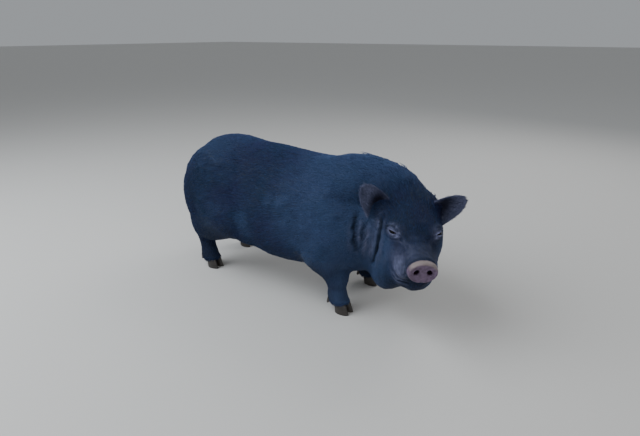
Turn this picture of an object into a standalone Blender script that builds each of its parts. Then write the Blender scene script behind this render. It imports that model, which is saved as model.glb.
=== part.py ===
"""A pot-bellied pig, life size, standing with its head lowered and turned to its right.

The flesh is a set of named egg and bone forms, blended into one surface. That whole is
parted by thin cuts into the head, neck, trunk, legs and the rest. The ears, eyes, tail,
claws and dewclaws are shaped on their own and fitted to it.
Metres, +X forward, +Y to the pig's left, +Z up, origin on the floor under the middle.
The sizes below are from the withers' side of that middle: `placed` moves it all over it.
"""

from math import cos, pi, radians, sin

import bmesh
import bpy
import numpy as np
from mathutils import Euler, Matrix, Vector

# ---------------------------------------------------------------- driving sizes
GAP = 0.0003  # left between pieces that meet
VOXEL = 0.0045  # of the mesh that the blended flesh is taken from
FLESH_TRIANGLES = 4300

# Heights and places on the trunk's middle line
RUMP_TOP = 0.432
LOIN_TOP = 0.420
BACK_TOP = 0.408
WITHERS_TOP = 0.412
BELLY_LOW = 0.084
RUMP_X = -0.245
CHEST_X = 0.180
HALF_WIDTH = 0.168  # of the barrel, at its widest

# Legs: side spacing and the joints' heights
FORE_SPREAD = 0.098
HIND_SPREAD = 0.096
ELBOW_Z = 0.165
KNEE_Z = 0.100
HOCK_Z = 0.138
FETLOCK_Z = 0.050
PASTERN_Z = 0.030
FORE_STEP = {1: 0.0, -1: 0.020}  # how far forward each forefoot stands
HIND_STEP = {1: -0.028, -1: 0.006}

# Head: where the skull's middle is and how it is turned
HEAD_AT = Vector((0.367, -0.030, 0.292))
HEAD_YAW = radians(-53)
HEAD_PITCH = radians(15)  # nose down
HEAD_ROLL = radians(-3)
HEAD = Matrix.LocRotScale(
    HEAD_AT, Euler((HEAD_ROLL, HEAD_PITCH, HEAD_YAW), "XYZ"), None
)

NOSE_X = 0.213  # the disc's face, along the head
NOSE_Z = -0.004
NOSE_DEPTH = 0.014
NOSE_HALF = (0.0350, 0.0290)  # half width and half height of the disc
NOSTRIL_APART = 0.0150  # from the middle
EYE_RADIUS = 0.0115
EYE_PLACE = (0.097, 0.050, 0.026)
EYE_SHOWS = 0.0010  # how far an eye stands out of the face
EAR_LENGTH = {1: 0.088, -1: 0.100}
EAR_THICK = 0.006
EAR_LIFT = {1: radians(32), -1: radians(46)}  # above level
EAR_ROOT_Z = {1: 0.031, -1: 0.026}  # a root, above the skull's middle
EAR_ROOT_Y = 0.060
EAR_FORWARD = {1: 0.30, -1: 0.14}  # the share of its length that an ear points forwards
TAIL_LENGTH = 0.190
TAIL_BACK = 0.034  # how far behind its root it hangs

CORONET_Z = 0.027  # where flesh gives way to claw
CORONET_SLOPE = radians(12)
CLAW_WIDTH = 0.0215
CLAW_LENGTH = 0.045
CLAW_HEIGHT = 0.030
CLAW_CLEFT = 0.0024  # between the two claws of a foot
CLAW_LEAN = 0.007  # how far the toe stands in front of the coronet
DEWCLAW_LENGTH = 0.026
DEWCLAW_RADII = (0.0035, 0.0080)  # at its tip and at its root
DEWCLAW_BACK = 0.030  # behind the pastern

SIDES = {"left": 1, "right": -1}


def ball_points(count=120):
    """Points spread evenly over a ball of radius 1, along a spiral."""
    turn = pi * (3 - 5**0.5)
    heights = [1 - 2 * (k + 0.5) / count for k in range(count)]
    return [
        Vector(
            (
                cos(turn * k) * (1 - z * z) ** 0.5,
                sin(turn * k) * (1 - z * z) ** 0.5,
                z,
            )
        )
        for k, z in enumerate(heights)
    ]


BALL = ball_points()


# ---------------------------------------------------------------- flesh forms
class Egg:
    """An ellipsoid of flesh or bone: `turn` is its pitch and yaw in degrees."""

    def __init__(self, centre, radii, turn=(0, 0), blend=0.03):
        pitch, yaw = turn
        self.place = Matrix.LocRotScale(
            Vector(centre), Euler((0, radians(pitch), radians(yaw)), "XYZ"), None
        )
        self.radii = np.array(radii, float)
        self.blend = blend

    def moved(self, matrix):
        """This form carried along by a matrix, as a head's forms go with the head."""
        twin = Egg((0, 0, 0), self.radii, blend=self.blend)
        twin.place = matrix @ self.place
        return twin

    def distance(self, points):
        """About how far each point is outside the ellipsoid."""
        back = np.array(self.place.inverted())
        local = points @ back[:3, :3].T + back[:3, 3]
        near = np.linalg.norm(local / self.radii, axis=1)
        slope = np.linalg.norm(local / self.radii**2, axis=1)
        return near * (near - 1) / np.maximum(slope, 1e-9)

    def add_to(self, shell):
        scaled = self.place @ Matrix.Diagonal((*self.radii, 1))
        bmesh.ops.create_icosphere(shell, subdivisions=3, radius=1, matrix=scaled)


class Bone:
    """A rounded limb between two joints, as thick at each as its radius says."""

    def __init__(self, start, end, start_radius, end_radius, blend=0.02):
        self.start, self.end = Vector(start), Vector(end)
        self.start_radius, self.end_radius = start_radius, end_radius
        self.blend = blend

    def moved(self, matrix):
        """This form carried along by a matrix."""
        ends = matrix @ self.start, matrix @ self.end
        return Bone(*ends, self.start_radius, self.end_radius, self.blend)

    def distance(self, points):
        """About how far each point is outside the limb."""
        start, along = np.array(self.start), np.array(self.end - self.start)
        share = np.clip((points - start) @ along / (along @ along), 0, 1)
        radius = self.start_radius + share * (self.end_radius - self.start_radius)
        return np.linalg.norm(points - start - share[:, None] * along, axis=1) - radius

    def add_to(self, shell):
        ends = (self.start, self.start_radius), (self.end, self.end_radius)
        around = [centre + radius * step for centre, radius in ends for step in BALL]
        bmesh.ops.convex_hull(shell, input=[shell.verts.new(spot) for spot in around])


def pair(make):
    """Both sides' forms, from a function of the side: 1 is left and -1 is right."""
    return [form for side in SIDES.values() for form in make(side)]


def trunk_forms():
    return [
        Egg((RUMP_X, 0, RUMP_TOP - 0.142), (0.134, 0.134, 0.142)),
        Egg((RUMP_X - 0.052, 0, 0.296), (0.090, 0.112, 0.116), blend=0.04),
        Egg((-0.10, 0, LOIN_TOP - 0.142), (0.170, 0.146, 0.142), blend=0.06),
        Egg((0.05, 0, BACK_TOP - 0.152), (0.200, HALF_WIDTH, 0.152), blend=0.05),
        Egg((-0.01, 0, BELLY_LOW + 0.118), (0.210, 0.160, 0.118), blend=0.05),
        Egg((CHEST_X, 0, 0.270), (0.128, 0.152, 0.142), blend=0.05),
        Egg((CHEST_X + 0.03, 0, WITHERS_TOP - 0.080), (0.100, 0.088, 0.080), blend=0.05),
        Egg((CHEST_X + 0.025, 0, 0.185), (0.100, 0.105, 0.080), blend=0.05),
    ]


def quarter_forms(side):
    """The muscle of one side's shoulder, ham and the skin web before the thigh."""
    return [
        Egg((CHEST_X, side * 0.118, 0.245), (0.088, 0.050, 0.120), blend=0.03),
        Egg((RUMP_X - 0.018, side * 0.088, 0.256), (0.128, 0.074, 0.148), blend=0.03),
        Egg((-0.120, side * 0.112, 0.190), (0.045, 0.034, 0.062), blend=0.03),
    ]


def foreleg_joints(side):
    """The joints of a foreleg from the elbow to the pastern."""
    y = side * FORE_SPREAD
    foot = CHEST_X + 0.002 + FORE_STEP[side]
    return {
        "shoulder": Vector((CHEST_X + 0.015, side * 0.110, 0.225)),
        "elbow": Vector((CHEST_X - 0.016, side * 0.106, ELBOW_Z)),
        "knee": Vector((foot, y, KNEE_Z)),
        "fetlock": Vector((foot + 0.002, y, FETLOCK_Z)),
        "pastern": Vector((foot + 0.014, y, PASTERN_Z)),
    }


def hindleg_joints(side):
    """The joints of a hind leg from the stifle to the pastern."""
    y = side * HIND_SPREAD
    foot = RUMP_X - 0.068 + HIND_STEP[side]
    return {
        "stifle": Vector((RUMP_X + 0.060, side * 0.110, 0.205)),
        "gaskin": Vector((RUMP_X - 0.040, side * 0.098, 0.160)),
        "hock": Vector((foot - 0.016, y, HOCK_Z)),
        "fetlock": Vector((foot + 0.001, y, FETLOCK_Z)),
        "pastern": Vector((foot + 0.014, y, PASTERN_Z)),
    }


def leg_forms(side):
    fore, hind = foreleg_joints(side), hindleg_joints(side)
    return [
        Bone(fore["shoulder"], fore["elbow"], 0.058, 0.052, blend=0.03),
        Bone(fore["elbow"], fore["knee"], 0.049, 0.032),
        Egg(fore["knee"], (0.032, 0.030, 0.032), blend=0.012),
        Bone(fore["knee"], fore["fetlock"], 0.025, 0.025, blend=0.012),
        Bone(fore["fetlock"], fore["pastern"], 0.027, 0.025, blend=0.012),
        Bone(hind["stifle"], hind["gaskin"], 0.070, 0.056, blend=0.03),
        Bone(hind["gaskin"], hind["hock"], 0.052, 0.030, blend=0.03),
        Bone(hind["hock"], hind["fetlock"], 0.029, 0.024, blend=0.012),
        Bone(hind["fetlock"], hind["pastern"], 0.026, 0.025, blend=0.012),
    ]


def neck_forms():
    """The neck joins the withers and chest to the head, wherever the head is turned."""
    crest = Vector((0.300, 0, 0.312))
    poll = HEAD @ Vector((-0.030, 0, 0.000))
    throat = HEAD @ Vector((-0.012, -0.014, -0.060))
    return [
        Bone((CHEST_X + 0.060, 0, 0.318), crest, 0.096, 0.091, blend=0.04),
        Bone(crest, poll, 0.091, 0.074, blend=0.04),
        Bone((CHEST_X + 0.040, 0, 0.240), throat, 0.132, 0.097, blend=0.04),
    ]


def head_forms():
    """The head in its own frame: +X along the face to the nose, origin inside the skull."""
    middle = [
        Egg((0.012, 0, 0.000), (0.086, 0.073, 0.069), blend=0.03),
        Egg((0.062, 0, 0.014), (0.052, 0.060, 0.040), blend=0.03),
        Bone((0.085, 0, -0.020), (0.182, 0, -0.009), 0.054, 0.033, blend=0.03),
        Egg((NOSE_X - 0.016, 0, NOSE_Z), (0.018, 0.036, 0.031), blend=0.016),
        Bone((0.050, 0, -0.106), (0.158, 0, -0.070), 0.060, 0.029, blend=0.012),
    ]

    def sides(side):
        return [
            Egg((0.042, side * 0.044, -0.038), (0.074, 0.037, 0.064), blend=0.03),
            Egg((0.034, side * 0.042, -0.119), (0.080, 0.047, 0.071), blend=0.03),
            Egg((0.078, side * 0.044, 0.026), (0.030, 0.020, 0.016), blend=0.025),
            Egg((0.140, side * 0.030, -0.034), (0.052, 0.024, 0.027), blend=0.016),
            Egg((0.112, side * 0.028, -0.074), (0.056, 0.024, 0.030), blend=0.016),
            Egg((0.000, side * 0.050, 0.031), (0.028, 0.022, 0.032), blend=0.03),
        ]

    return [form.moved(HEAD) for form in middle + pair(sides)]


FORMS = (
    trunk_forms()
    + pair(quarter_forms)
    + pair(leg_forms)
    + neck_forms()
    + head_forms()
)


def blended(points):
    """How far points are outside all forms, each blended into those before it."""
    total = FORMS[0].distance(points)
    for form in FORMS[1:]:
        other = form.distance(points)
        share = np.clip(0.5 + 0.5 * (total - other) / form.blend, 0, 1)
        total = total + share * (other - total) - form.blend * share * (1 - share)
    return total


def settle(points, steps=6, reach=0.0005):
    """Moves points along the slope of the blended forms until they lie on its surface."""
    corners = np.array([(1, 1, 1), (1, -1, -1), (-1, 1, -1), (-1, -1, 1)], float)
    for _ in range(steps):
        slope = sum(c * blended(points + reach * c)[:, None] for c in corners)
        slope /= 4 * reach
        steep = np.maximum((slope**2).sum(1), 0.05)
        points = points - (blended(points) / steep)[:, None] * slope
    return points


# ---------------------------------------------------------------- mesh helpers
def mesh_object(name, shell):
    mesh = bpy.data.meshes.new(name)
    shell.to_mesh(mesh)
    shell.free()
    obj = bpy.data.objects.new(name, mesh)
    bpy.context.scene.collection.objects.link(obj)
    return obj


def applied(obj):
    """Bakes an object's modifiers into its mesh."""
    bpy.context.view_layer.update()
    graph = bpy.context.evaluated_depsgraph_get()
    mesh = bpy.data.meshes.new_from_object(obj.evaluated_get(graph))
    obj.modifiers.clear()
    obj.data = mesh
    return obj


def coordinates(mesh):
    found = np.empty(len(mesh.vertices) * 3, np.float32)
    mesh.vertices.foreach_get("co", found)
    return found.reshape(-1, 3).astype(float)


def set_coordinates(mesh, points):
    mesh.vertices.foreach_set("co", points.astype(np.float32).ravel())
    mesh.update()


def shaded(obj):
    """Smooth shading, sharp only where faces meet at a clear edge."""
    obj.data.shade_smooth()
    obj.data.set_sharp_from_angle(angle=radians(50))
    return obj


def twin(obj, name):
    other = bpy.data.objects.new(name, obj.data.copy())
    bpy.context.scene.collection.objects.link(other)
    return other


def boolean(obj, cutter, operation):
    """Joins, cuts or keeps by a cutter, and leaves the cutter as it is."""
    modifier = obj.modifiers.new("boolean", "BOOLEAN")
    modifier.operation = operation
    modifier.solver = "EXACT"
    modifier.object = cutter
    return applied(obj)


def box(place, low, high):
    """A box between two corners, in the frame that `place` gives."""
    low, high = Vector(low), Vector(high)
    middle = Matrix.Translation((low + high) / 2)
    shell = bmesh.new()
    bmesh.ops.create_cube(
        shell, size=1, matrix=place @ middle @ Matrix.Diagonal((*(high - low), 1))
    )
    return mesh_object("box", shell)


def part_off(body, name, place, low, high):
    """Takes what lies inside a box off the body as a piece, with a thin gap round it."""
    piece = twin(body, name)
    inner = box(place, low, high)
    boolean(piece, inner, "INTERSECT")
    bpy.data.objects.remove(inner)
    margin = Vector((GAP, GAP, GAP))
    outer = box(place, Vector(low) - margin, Vector(high) + margin)
    boolean(body, outer, "DIFFERENCE")
    bpy.data.objects.remove(outer)
    return piece


def swollen(body, by):
    """A copy of a body with every point moved outwards, to fit pieces against it."""
    copy = twin(body, "swollen")
    points = coordinates(copy.data)
    normals = np.empty(len(points) * 3, np.float32)
    copy.data.vertices.foreach_get("normal", normals)
    set_coordinates(copy.data, points + by * normals.reshape(-1, 3))
    return copy


def on_surface(place):
    """The point of the body's surface nearest a place, and the way out of it there."""
    found = settle(np.array([place], float))[0]
    reach = 0.001 * np.eye(3)
    slope = blended(found + reach) - blended(found - reach)
    return Vector(found), Vector(slope).normalized()


# ---------------------------------------------------------------- pieces
def flesh():
    """The whole body as one closed mesh on the surface of the blended forms."""
    shell = bmesh.new()
    for form in FORMS:
        form.add_to(shell)
    body = mesh_object("trunk", shell)
    remesh = body.modifiers.new("skin", "REMESH")
    remesh.mode = "VOXEL"
    remesh.voxel_size = VOXEL
    applied(body)
    set_coordinates(body.data, settle(coordinates(body.data)))
    body.data.calc_loop_triangles()
    decimate = body.modifiers.new("fewer", "DECIMATE")
    decimate.ratio = FLESH_TRIANGLES / len(body.data.loop_triangles)
    return applied(body)


def ear(side):
    """A broad leaf, cupped forwards, from the side of the poll outwards and up."""
    rows, columns = 7, 6
    lift = EAR_LIFT[side]
    along = Vector((EAR_FORWARD[side], cos(lift), sin(lift))).normalized()
    length = EAR_LENGTH[side]
    base = Vector((0.006, EAR_ROOT_Y, EAR_ROOT_Z[side]))
    shell = bmesh.new()
    bmesh.ops.create_grid(shell, x_segments=columns, y_segments=rows, size=1)
    for point in shell.verts:
        over, share = point.co.x, (point.co.y + 1) / 2
        half = 0.043 * (1 - 0.94 * share**4) ** 0.5 * (1 - 0.28 * share)
        tilt = lift * share**0.3
        across = Vector((0, -sin(tilt), cos(tilt)))
        cup = 0.016 * (1 - share) + 0.004
        drawn_in = (0.045 if over > 0 else 0.020) * over**2 * (1 - share) ** 1.5
        spot = base + along * (length * share - drawn_in)
        spot += across * (half * over - 0.014 + 0.018 * share)
        spot.x += cup * over**2 - 0.006 * share
        point.co = HEAD @ Vector((spot.x, side * spot.y, spot.z))
    bmesh.ops.recalc_face_normals(shell, faces=shell.faces)
    leaf = mesh_object("ear", shell)
    solid = leaf.modifiers.new("thick", "SOLIDIFY")
    solid.thickness = EAR_THICK
    solid.offset = 0
    return applied(leaf)


def eye_centre(side):
    spot, out = on_surface(HEAD @ Vector((EYE_PLACE[0], side * EYE_PLACE[1], EYE_PLACE[2])))
    return spot - out * (EYE_RADIUS - EYE_SHOWS)


def ball(name, centre, radius):
    shell = bmesh.new()
    bmesh.ops.create_uvsphere(
        shell,
        u_segments=12,
        v_segments=8,
        radius=radius,
        matrix=Matrix.Translation(centre),
    )
    return mesh_object(name, shell)


def nose_disc():
    """The flat end of the snout: a rounded oval plate with two nostrils."""
    shell = bmesh.new()
    bmesh.ops.create_cone(
        shell, cap_ends=True, segments=28, radius1=1, radius2=1, depth=NOSE_DEPTH
    )
    place = (
        HEAD
        @ Matrix.Translation((NOSE_X - NOSE_DEPTH / 2, 0, NOSE_Z))
        @ Matrix.Rotation(pi / 2, 4, "Y")
        @ Matrix.Diagonal((NOSE_HALF[1], NOSE_HALF[0], 1, 1))
    )
    bmesh.ops.transform(shell, matrix=place, verts=shell.verts)
    front = max(shell.faces, key=lambda face: (HEAD.inverted() @ face.calc_center_median()).x)
    bmesh.ops.bevel(
        shell,
        geom=list(front.edges),
        offset=0.005,
        segments=2,
        profile=0.6,
        affect="EDGES",
    )
    disc = mesh_object("nose_disc", shell)
    for side in SIDES.values():
        hole = bmesh.new()
        spot = (
            HEAD
            @ Matrix.Translation((NOSE_X + 0.0005, side * NOSTRIL_APART, NOSE_Z + 0.001))
            @ Matrix.Rotation(side * radians(24), 4, "X")
            @ Matrix.Diagonal((0.009, 0.0058, 0.0082, 1))
        )
        bmesh.ops.create_icosphere(hole, subdivisions=2, radius=1, matrix=spot)
        cutter = mesh_object("nostril", hole)
        boolean(disc, cutter, "DIFFERENCE")
        bpy.data.objects.remove(cutter)
    return disc


def tube(name, points, radii, ring=10):
    """A tapering round tube along points, from a bevelled curve made a mesh."""
    curve = bpy.data.curves.new(name, "CURVE")
    curve.dimensions = "3D"
    curve.bevel_depth = 1
    curve.bevel_resolution = ring // 2 - 2
    curve.use_fill_caps = True
    spline = curve.splines.new("POLY")
    spline.points.add(len(points) - 1)
    for point, spot, radius in zip(spline.points, points, radii):
        point.co = (*spot, 1)
        point.radius = radius
    obj = bpy.data.objects.new(name, curve)
    bpy.context.scene.collection.objects.link(obj)
    bpy.context.view_layer.update()
    graph = bpy.context.evaluated_depsgraph_get()
    mesh = bpy.data.meshes.new_from_object(obj.evaluated_get(graph))
    bpy.data.objects.remove(obj)
    shell = bmesh.new()
    shell.from_mesh(mesh)
    bmesh.ops.remove_doubles(shell, verts=shell.verts, dist=0.00001)
    return mesh_object(name, shell)


def tail_path():
    """Points down the tail: back out of the rump, over, and down between the hams."""
    root, out = on_surface((RUMP_X - 0.14, 0, 0.350))
    steps = 10
    path = [root - out * 0.012, root + out * 0.004]
    for step in range(1, steps + 1):
        share = step / steps
        back = TAIL_BACK * (1 - (1 - share) ** 4)
        path.append(root + Vector((-0.004 - back, 0, -TAIL_LENGTH * share**1.2)))
    return path


def tail():
    path = tail_path()
    last = len(path) - 1
    radii = [0.0125 - 0.0070 * step / last for step in range(last + 1)]
    return tube("tail", path, radii)


def tail_switch():
    """The hanging tuft at the tail's end, a flat spindle of hair."""
    top = tail_path()[-1] - Vector((0, 0, GAP))
    length, steps = 0.075, 7
    path = [top - Vector((0, 0, length * step / steps)) for step in range(steps + 1)]
    radii = [
        0.0055 + 0.008 * sin(pi * (step / steps) ** 0.8) - 0.004 * step / steps
        for step in range(steps + 1)
    ]
    return tube("tail_switch", path, radii, ring=8)


def foot_of(leg, side):
    joints = foreleg_joints(side) if leg == "fore" else hindleg_joints(side)
    return joints["pastern"]


def coronet(leg, side):
    """The slanting plane between a leg's flesh and its claws, as a frame."""
    foot = foot_of(leg, side)
    return Matrix.Translation((foot.x, foot.y, CORONET_Z)) @ Matrix.Rotation(
        -CORONET_SLOPE, 4, "Y"
    )


def claw(name, leg, side, apart):
    """One hoof of a cloven foot: a flat sole, a sloped front wall and a blunt point."""
    foot = foot_of(leg, side)
    shell = bmesh.new()
    bmesh.ops.create_cone(
        shell, cap_ends=True, segments=14, radius1=1, radius2=0.84, depth=1
    )
    for point in shell.verts:
        x, y, z = point.co.x, point.co.y, point.co.z + 0.5
        point_in = 1 - 0.35 * max(x, 0) ** 2
        ahead = x * CLAW_LENGTH / 2 + CLAW_LEAN * (1 - z)
        point.co = Vector((ahead, y * CLAW_WIDTH / 2 * point_in, z * CLAW_HEIGHT))
        point.co += Vector((foot.x + 0.004, foot.y + apart * (CLAW_WIDTH + CLAW_CLEFT) / 2, 0))
    horn = mesh_object(name, shell)
    above = box(coronet(leg, side), (-0.1, -0.1, -GAP), (0.1, 0.1, 0.1))
    boolean(horn, above, "DIFFERENCE")
    bpy.data.objects.remove(above)
    return horn


def dewclaw(name, leg, side, apart, clearance):
    """A small side claw behind the pastern, clear of the ground."""
    foot = foot_of(leg, side)
    shell = bmesh.new()
    tip, root = DEWCLAW_RADII
    bmesh.ops.create_cone(
        shell, cap_ends=True, segments=10, radius1=tip, radius2=root, depth=DEWCLAW_LENGTH
    )
    place = (
        Matrix.Translation((foot.x - DEWCLAW_BACK, foot.y + apart * 0.015, 0.034))
        @ Matrix.Rotation(radians(28), 4, "Y")
        @ Matrix.Rotation(apart * radians(-10), 4, "X")
    )
    bmesh.ops.transform(shell, matrix=place, verts=shell.verts)
    horn = mesh_object(name, shell)
    return boolean(horn, clearance, "DIFFERENCE")


def legs_off(body):
    """Parts the four legs from the trunk, below the elbow and across the thigh."""
    found = []
    for word, side in SIDES.items():
        fore, hind = foreleg_joints(side), hindleg_joints(side)
        inner, outer = sorted((side * 0.045, side * 0.230))
        low = (fore["elbow"].x - 0.070, inner, -0.01)
        high = (fore["elbow"].x + 0.085, outer, ELBOW_Z + 0.005)
        found.append(part_off(body, "foreleg_" + word, Matrix(), low, high))
        inner, outer = sorted((side * 0.030, side * 0.230))
        low = (hind["hock"].x - 0.120, inner, -0.01)
        high = (hind["stifle"].x + 0.058, outer, 0.205)
        found.append(part_off(body, "hindleg_" + word, Matrix(), low, high))
    return found


def head_off(body):
    """Parts the head from the neck, the neck from the trunk and the jaw from the head."""
    head = part_off(body, "head", HEAD, (-0.030, -0.125, -0.20), (0.30, 0.125, 0.16))
    neck_place = Matrix.Translation((0.262, 0, 0.30)) @ Matrix.Rotation(
        radians(-14), 4, "Z"
    )
    neck = part_off(body, "neck", neck_place, (0, -0.25, -0.25), (0.25, 0.25, 0.25))
    mouth = HEAD @ Matrix.Translation((0.20, 0, -0.042)) @ Matrix.Rotation(
        radians(6), 4, "Y"
    )
    jaw = part_off(head, "lower_jaw", mouth, (-0.105, -0.10, -0.12), (0.06, 0.10, 0))
    nose_back = NOSE_X - NOSE_DEPTH - GAP
    front = part_off(head, "front", HEAD, (nose_back, -0.1, -0.06), (0.3, 0.1, 0.1))
    bpy.data.objects.remove(front)
    snout = part_off(head, "snout", HEAD, (0.118, -0.1, -0.09), (0.3, 0.1, 0.1))
    return [head, neck, jaw, snout]


def eyes_in(head):
    found = []
    for word, side in SIDES.items():
        centre = eye_centre(side)
        socket = ball("socket", centre, EYE_RADIUS + GAP)
        boolean(head, socket, "DIFFERENCE")
        bpy.data.objects.remove(socket)
        found.append(ball("eye_" + word, centre, EYE_RADIUS))
    return found


def feet_off(body):
    """Cuts the flesh off at each coronet, to leave room for the claws."""
    for leg in ("fore", "hind"):
        for side in SIDES.values():
            below = box(coronet(leg, side), (-0.06, -0.05, -0.1), (0.06, 0.05, 0))
            boolean(body, below, "DIFFERENCE")
            bpy.data.objects.remove(below)


def horn_and_ears(body):
    """The ears, claws, dewclaws and tail, each cut to fit against the body."""
    clearance = swollen(body, 1.5 * GAP)
    found = [tail_switch(), boolean(tail(), clearance, "DIFFERENCE")]
    for word, side in SIDES.items():
        leaf = ear(side)
        leaf.name = "ear_" + word
        found.append(boolean(leaf, clearance, "DIFFERENCE"))
        for leg in ("fore", "hind"):
            for place, apart in (("outer", side), ("inner", -side)):
                tag = "_".join((leg, word, place))
                found.append(claw("claw_" + tag, leg, side, apart))
                found.append(dewclaw("dewclaw_" + tag, leg, side, apart, clearance))
    bpy.data.objects.remove(clearance)
    return found


# ---------------------------------------------------------------- finishes
FINISHES = {
    "hide": ((0.022, 0.024, 0.030), 0.62),
    "nose": ((0.150, 0.105, 0.115), 0.38),
    "ear": ((0.035, 0.032, 0.036), 0.60),
    "horn": ((0.045, 0.040, 0.038), 0.45),
    "eye": ((0.012, 0.008, 0.006), 0.08),
    "switch": ((0.015, 0.016, 0.020), 0.70),
}


def finish_of(name):
    """The finish that a piece's name calls for."""
    kinds = {
        "eye": "eye",
        "ear": "ear",
        "claw": "horn",
        "dewclaw": "horn",
        "nose": "nose",
    }
    if name == "tail_switch":
        return "switch"
    return kinds.get(name.split("_")[0], "hide")


def painted(obj):
    """Gives a piece a material of its own."""
    colour, roughness = FINISHES[finish_of(obj.name)]
    material = bpy.data.materials.new(obj.name)
    material.use_nodes = True
    shader = material.node_tree.nodes["Principled BSDF"]
    shader.inputs["Base Color"].default_value = (*colour, 1)
    shader.inputs["Roughness"].default_value = roughness
    shader.inputs["Metallic"].default_value = 0
    obj.data.materials.clear()
    obj.data.materials.append(material)


def placed(pieces):
    """Gives each piece an origin in its own middle and hangs it from one empty.

    The empty stands so that the floor point under the middle of the animal is the origin.
    """
    points = [coordinates(piece.data) for piece in pieces]
    low = np.min([cloud.min(0) for cloud in points], axis=0)
    high = np.max([cloud.max(0) for cloud in points], axis=0)
    holder = bpy.data.objects.new("pig", None)
    holder.location = (-(low[0] + high[0]) / 2, -(low[1] + high[1]) / 2, 0)
    bpy.context.scene.collection.objects.link(holder)
    for piece, cloud in zip(pieces, points):
        middle = Vector((cloud.min(0) + cloud.max(0)) / 2)
        piece.data.transform(Matrix.Translation(-middle))
        piece.location = middle
        piece.parent = holder


def collected(pieces):
    """Puts the pieces in a collection of their own."""
    pig = bpy.data.collections.new("pot_bellied_pig")
    bpy.context.scene.collection.children.link(pig)
    for piece in pieces:
        bpy.context.scene.collection.objects.unlink(piece)
        pig.objects.link(piece)


def clear_scene():
    for obj in list(bpy.data.objects):
        bpy.data.objects.remove(obj)


def main():
    clear_scene()
    body = flesh()
    pieces = horn_and_ears(body)
    feet_off(body)
    pieces += legs_off(body)
    pieces += head_off(body)
    head = next(piece for piece in pieces if piece.name == "head")
    pieces += eyes_in(head)
    pieces += [nose_disc(), body]
    for piece in pieces:
        shaded(piece)
        painted(piece)
    placed(pieces)
    collected(pieces)


if __name__ == "__main__":
    main()
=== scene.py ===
"""The looks of a pot-bellied pig: one skin over its flesh, a bristly coat, eyes and claws.

The skin is grown from the solids, smoothed, drawn in by the depth of the coat, and given
its folds, lids and nostrils. The coat is tufts of bristles scattered over it, each lying
the way the hair runs. Lengths are metres; +X is forwards and +Y is the pig's left.
"""

from math import cos, inf, pi, radians, sin

import bmesh
import bpy
import numpy as np
from bpy.props import FloatProperty, FloatVectorProperty, IntProperty, PointerProperty
from mathutils import Euler, Matrix, Vector
from mathutils.bvhtree import BVHTree


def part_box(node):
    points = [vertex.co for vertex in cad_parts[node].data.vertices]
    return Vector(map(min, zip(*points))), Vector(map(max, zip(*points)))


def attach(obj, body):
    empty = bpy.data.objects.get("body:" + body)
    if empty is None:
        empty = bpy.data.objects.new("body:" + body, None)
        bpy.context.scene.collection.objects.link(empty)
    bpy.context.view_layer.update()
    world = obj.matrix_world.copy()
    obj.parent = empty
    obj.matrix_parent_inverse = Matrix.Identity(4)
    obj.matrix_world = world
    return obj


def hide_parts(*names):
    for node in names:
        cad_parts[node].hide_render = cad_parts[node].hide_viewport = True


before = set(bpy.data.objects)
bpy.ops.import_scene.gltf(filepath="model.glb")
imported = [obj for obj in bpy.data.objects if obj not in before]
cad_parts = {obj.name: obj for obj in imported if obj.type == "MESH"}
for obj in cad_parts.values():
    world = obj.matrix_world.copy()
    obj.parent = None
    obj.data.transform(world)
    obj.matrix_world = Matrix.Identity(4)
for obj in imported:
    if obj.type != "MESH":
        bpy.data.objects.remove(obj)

bl_info = {
    "name": "Pot-bellied pig",
    "version": (1, 0, 0),
    "blender": (4, 5, 0),
    "location": "3D View > Sidebar > Pig",
    "description": "Grows a pig's skin and bristles over its solid parts",
    "category": "Object",
}

SIDES = {"left": 1, "right": -1}
EYES = ["eye_left", "eye_right"]
CLAWS = sorted(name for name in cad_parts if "claw" in name)
FLESH = sorted(set(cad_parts) - set(EYES) - set(CLAWS))


MIDDLES = {name: sum(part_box(name), Vector()) / 2 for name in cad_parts}

# The head's own frame: +X along the face to the nose, its origin inside the skull.
HEAD_TURN = Euler((radians(-3), radians(15), radians(-53)), "XYZ").to_matrix()
NOSE = Vector((0.2048, -0.0002, -0.0037))  # the nose disc's middle in that frame
NOSE_FACE = 0.2130  # the disc's flat face, along the head
HEAD = Matrix.Translation(MIDDLES["nose_disc"] - HEAD_TURN @ NOSE) @ HEAD_TURN.to_4x4()
DISC_HALF = (0.0350, 0.0290)  # half the disc's width and height
NOSTRILS = ((0.0150, 0.0010), (-0.0150, 0.0010))  # side and height from the disc's middle
NOSTRIL_HALF = (0.0064, 0.0088)
NOSTRIL_DEPTH = 0.0130
NOSTRIL_TILT = radians(24)
EYE_RADIUS = 0.0115
SLIT_HALF = 0.0108  # half the length of the slit between the lids
SLIT_DEPTH = 0.0022  # how far the lids' inner faces lie behind the ball's face
EAR_LIFT = {1: radians(32), -1: radians(46)}
EAR_FORWARD = {1: 0.30, -1: 0.14}
EAR_ROOT = {1: Vector((0.006, 0.060, 0.031)), -1: Vector((0.006, -0.060, 0.026))}
EAR_LENGTH = {1: 0.088, -1: 0.100}
# The ears' hollows are darkened with painted shade.
EAR_DARK = {1: 0.70, -1: 0.95}  # how dark each ear's hollow is


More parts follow.
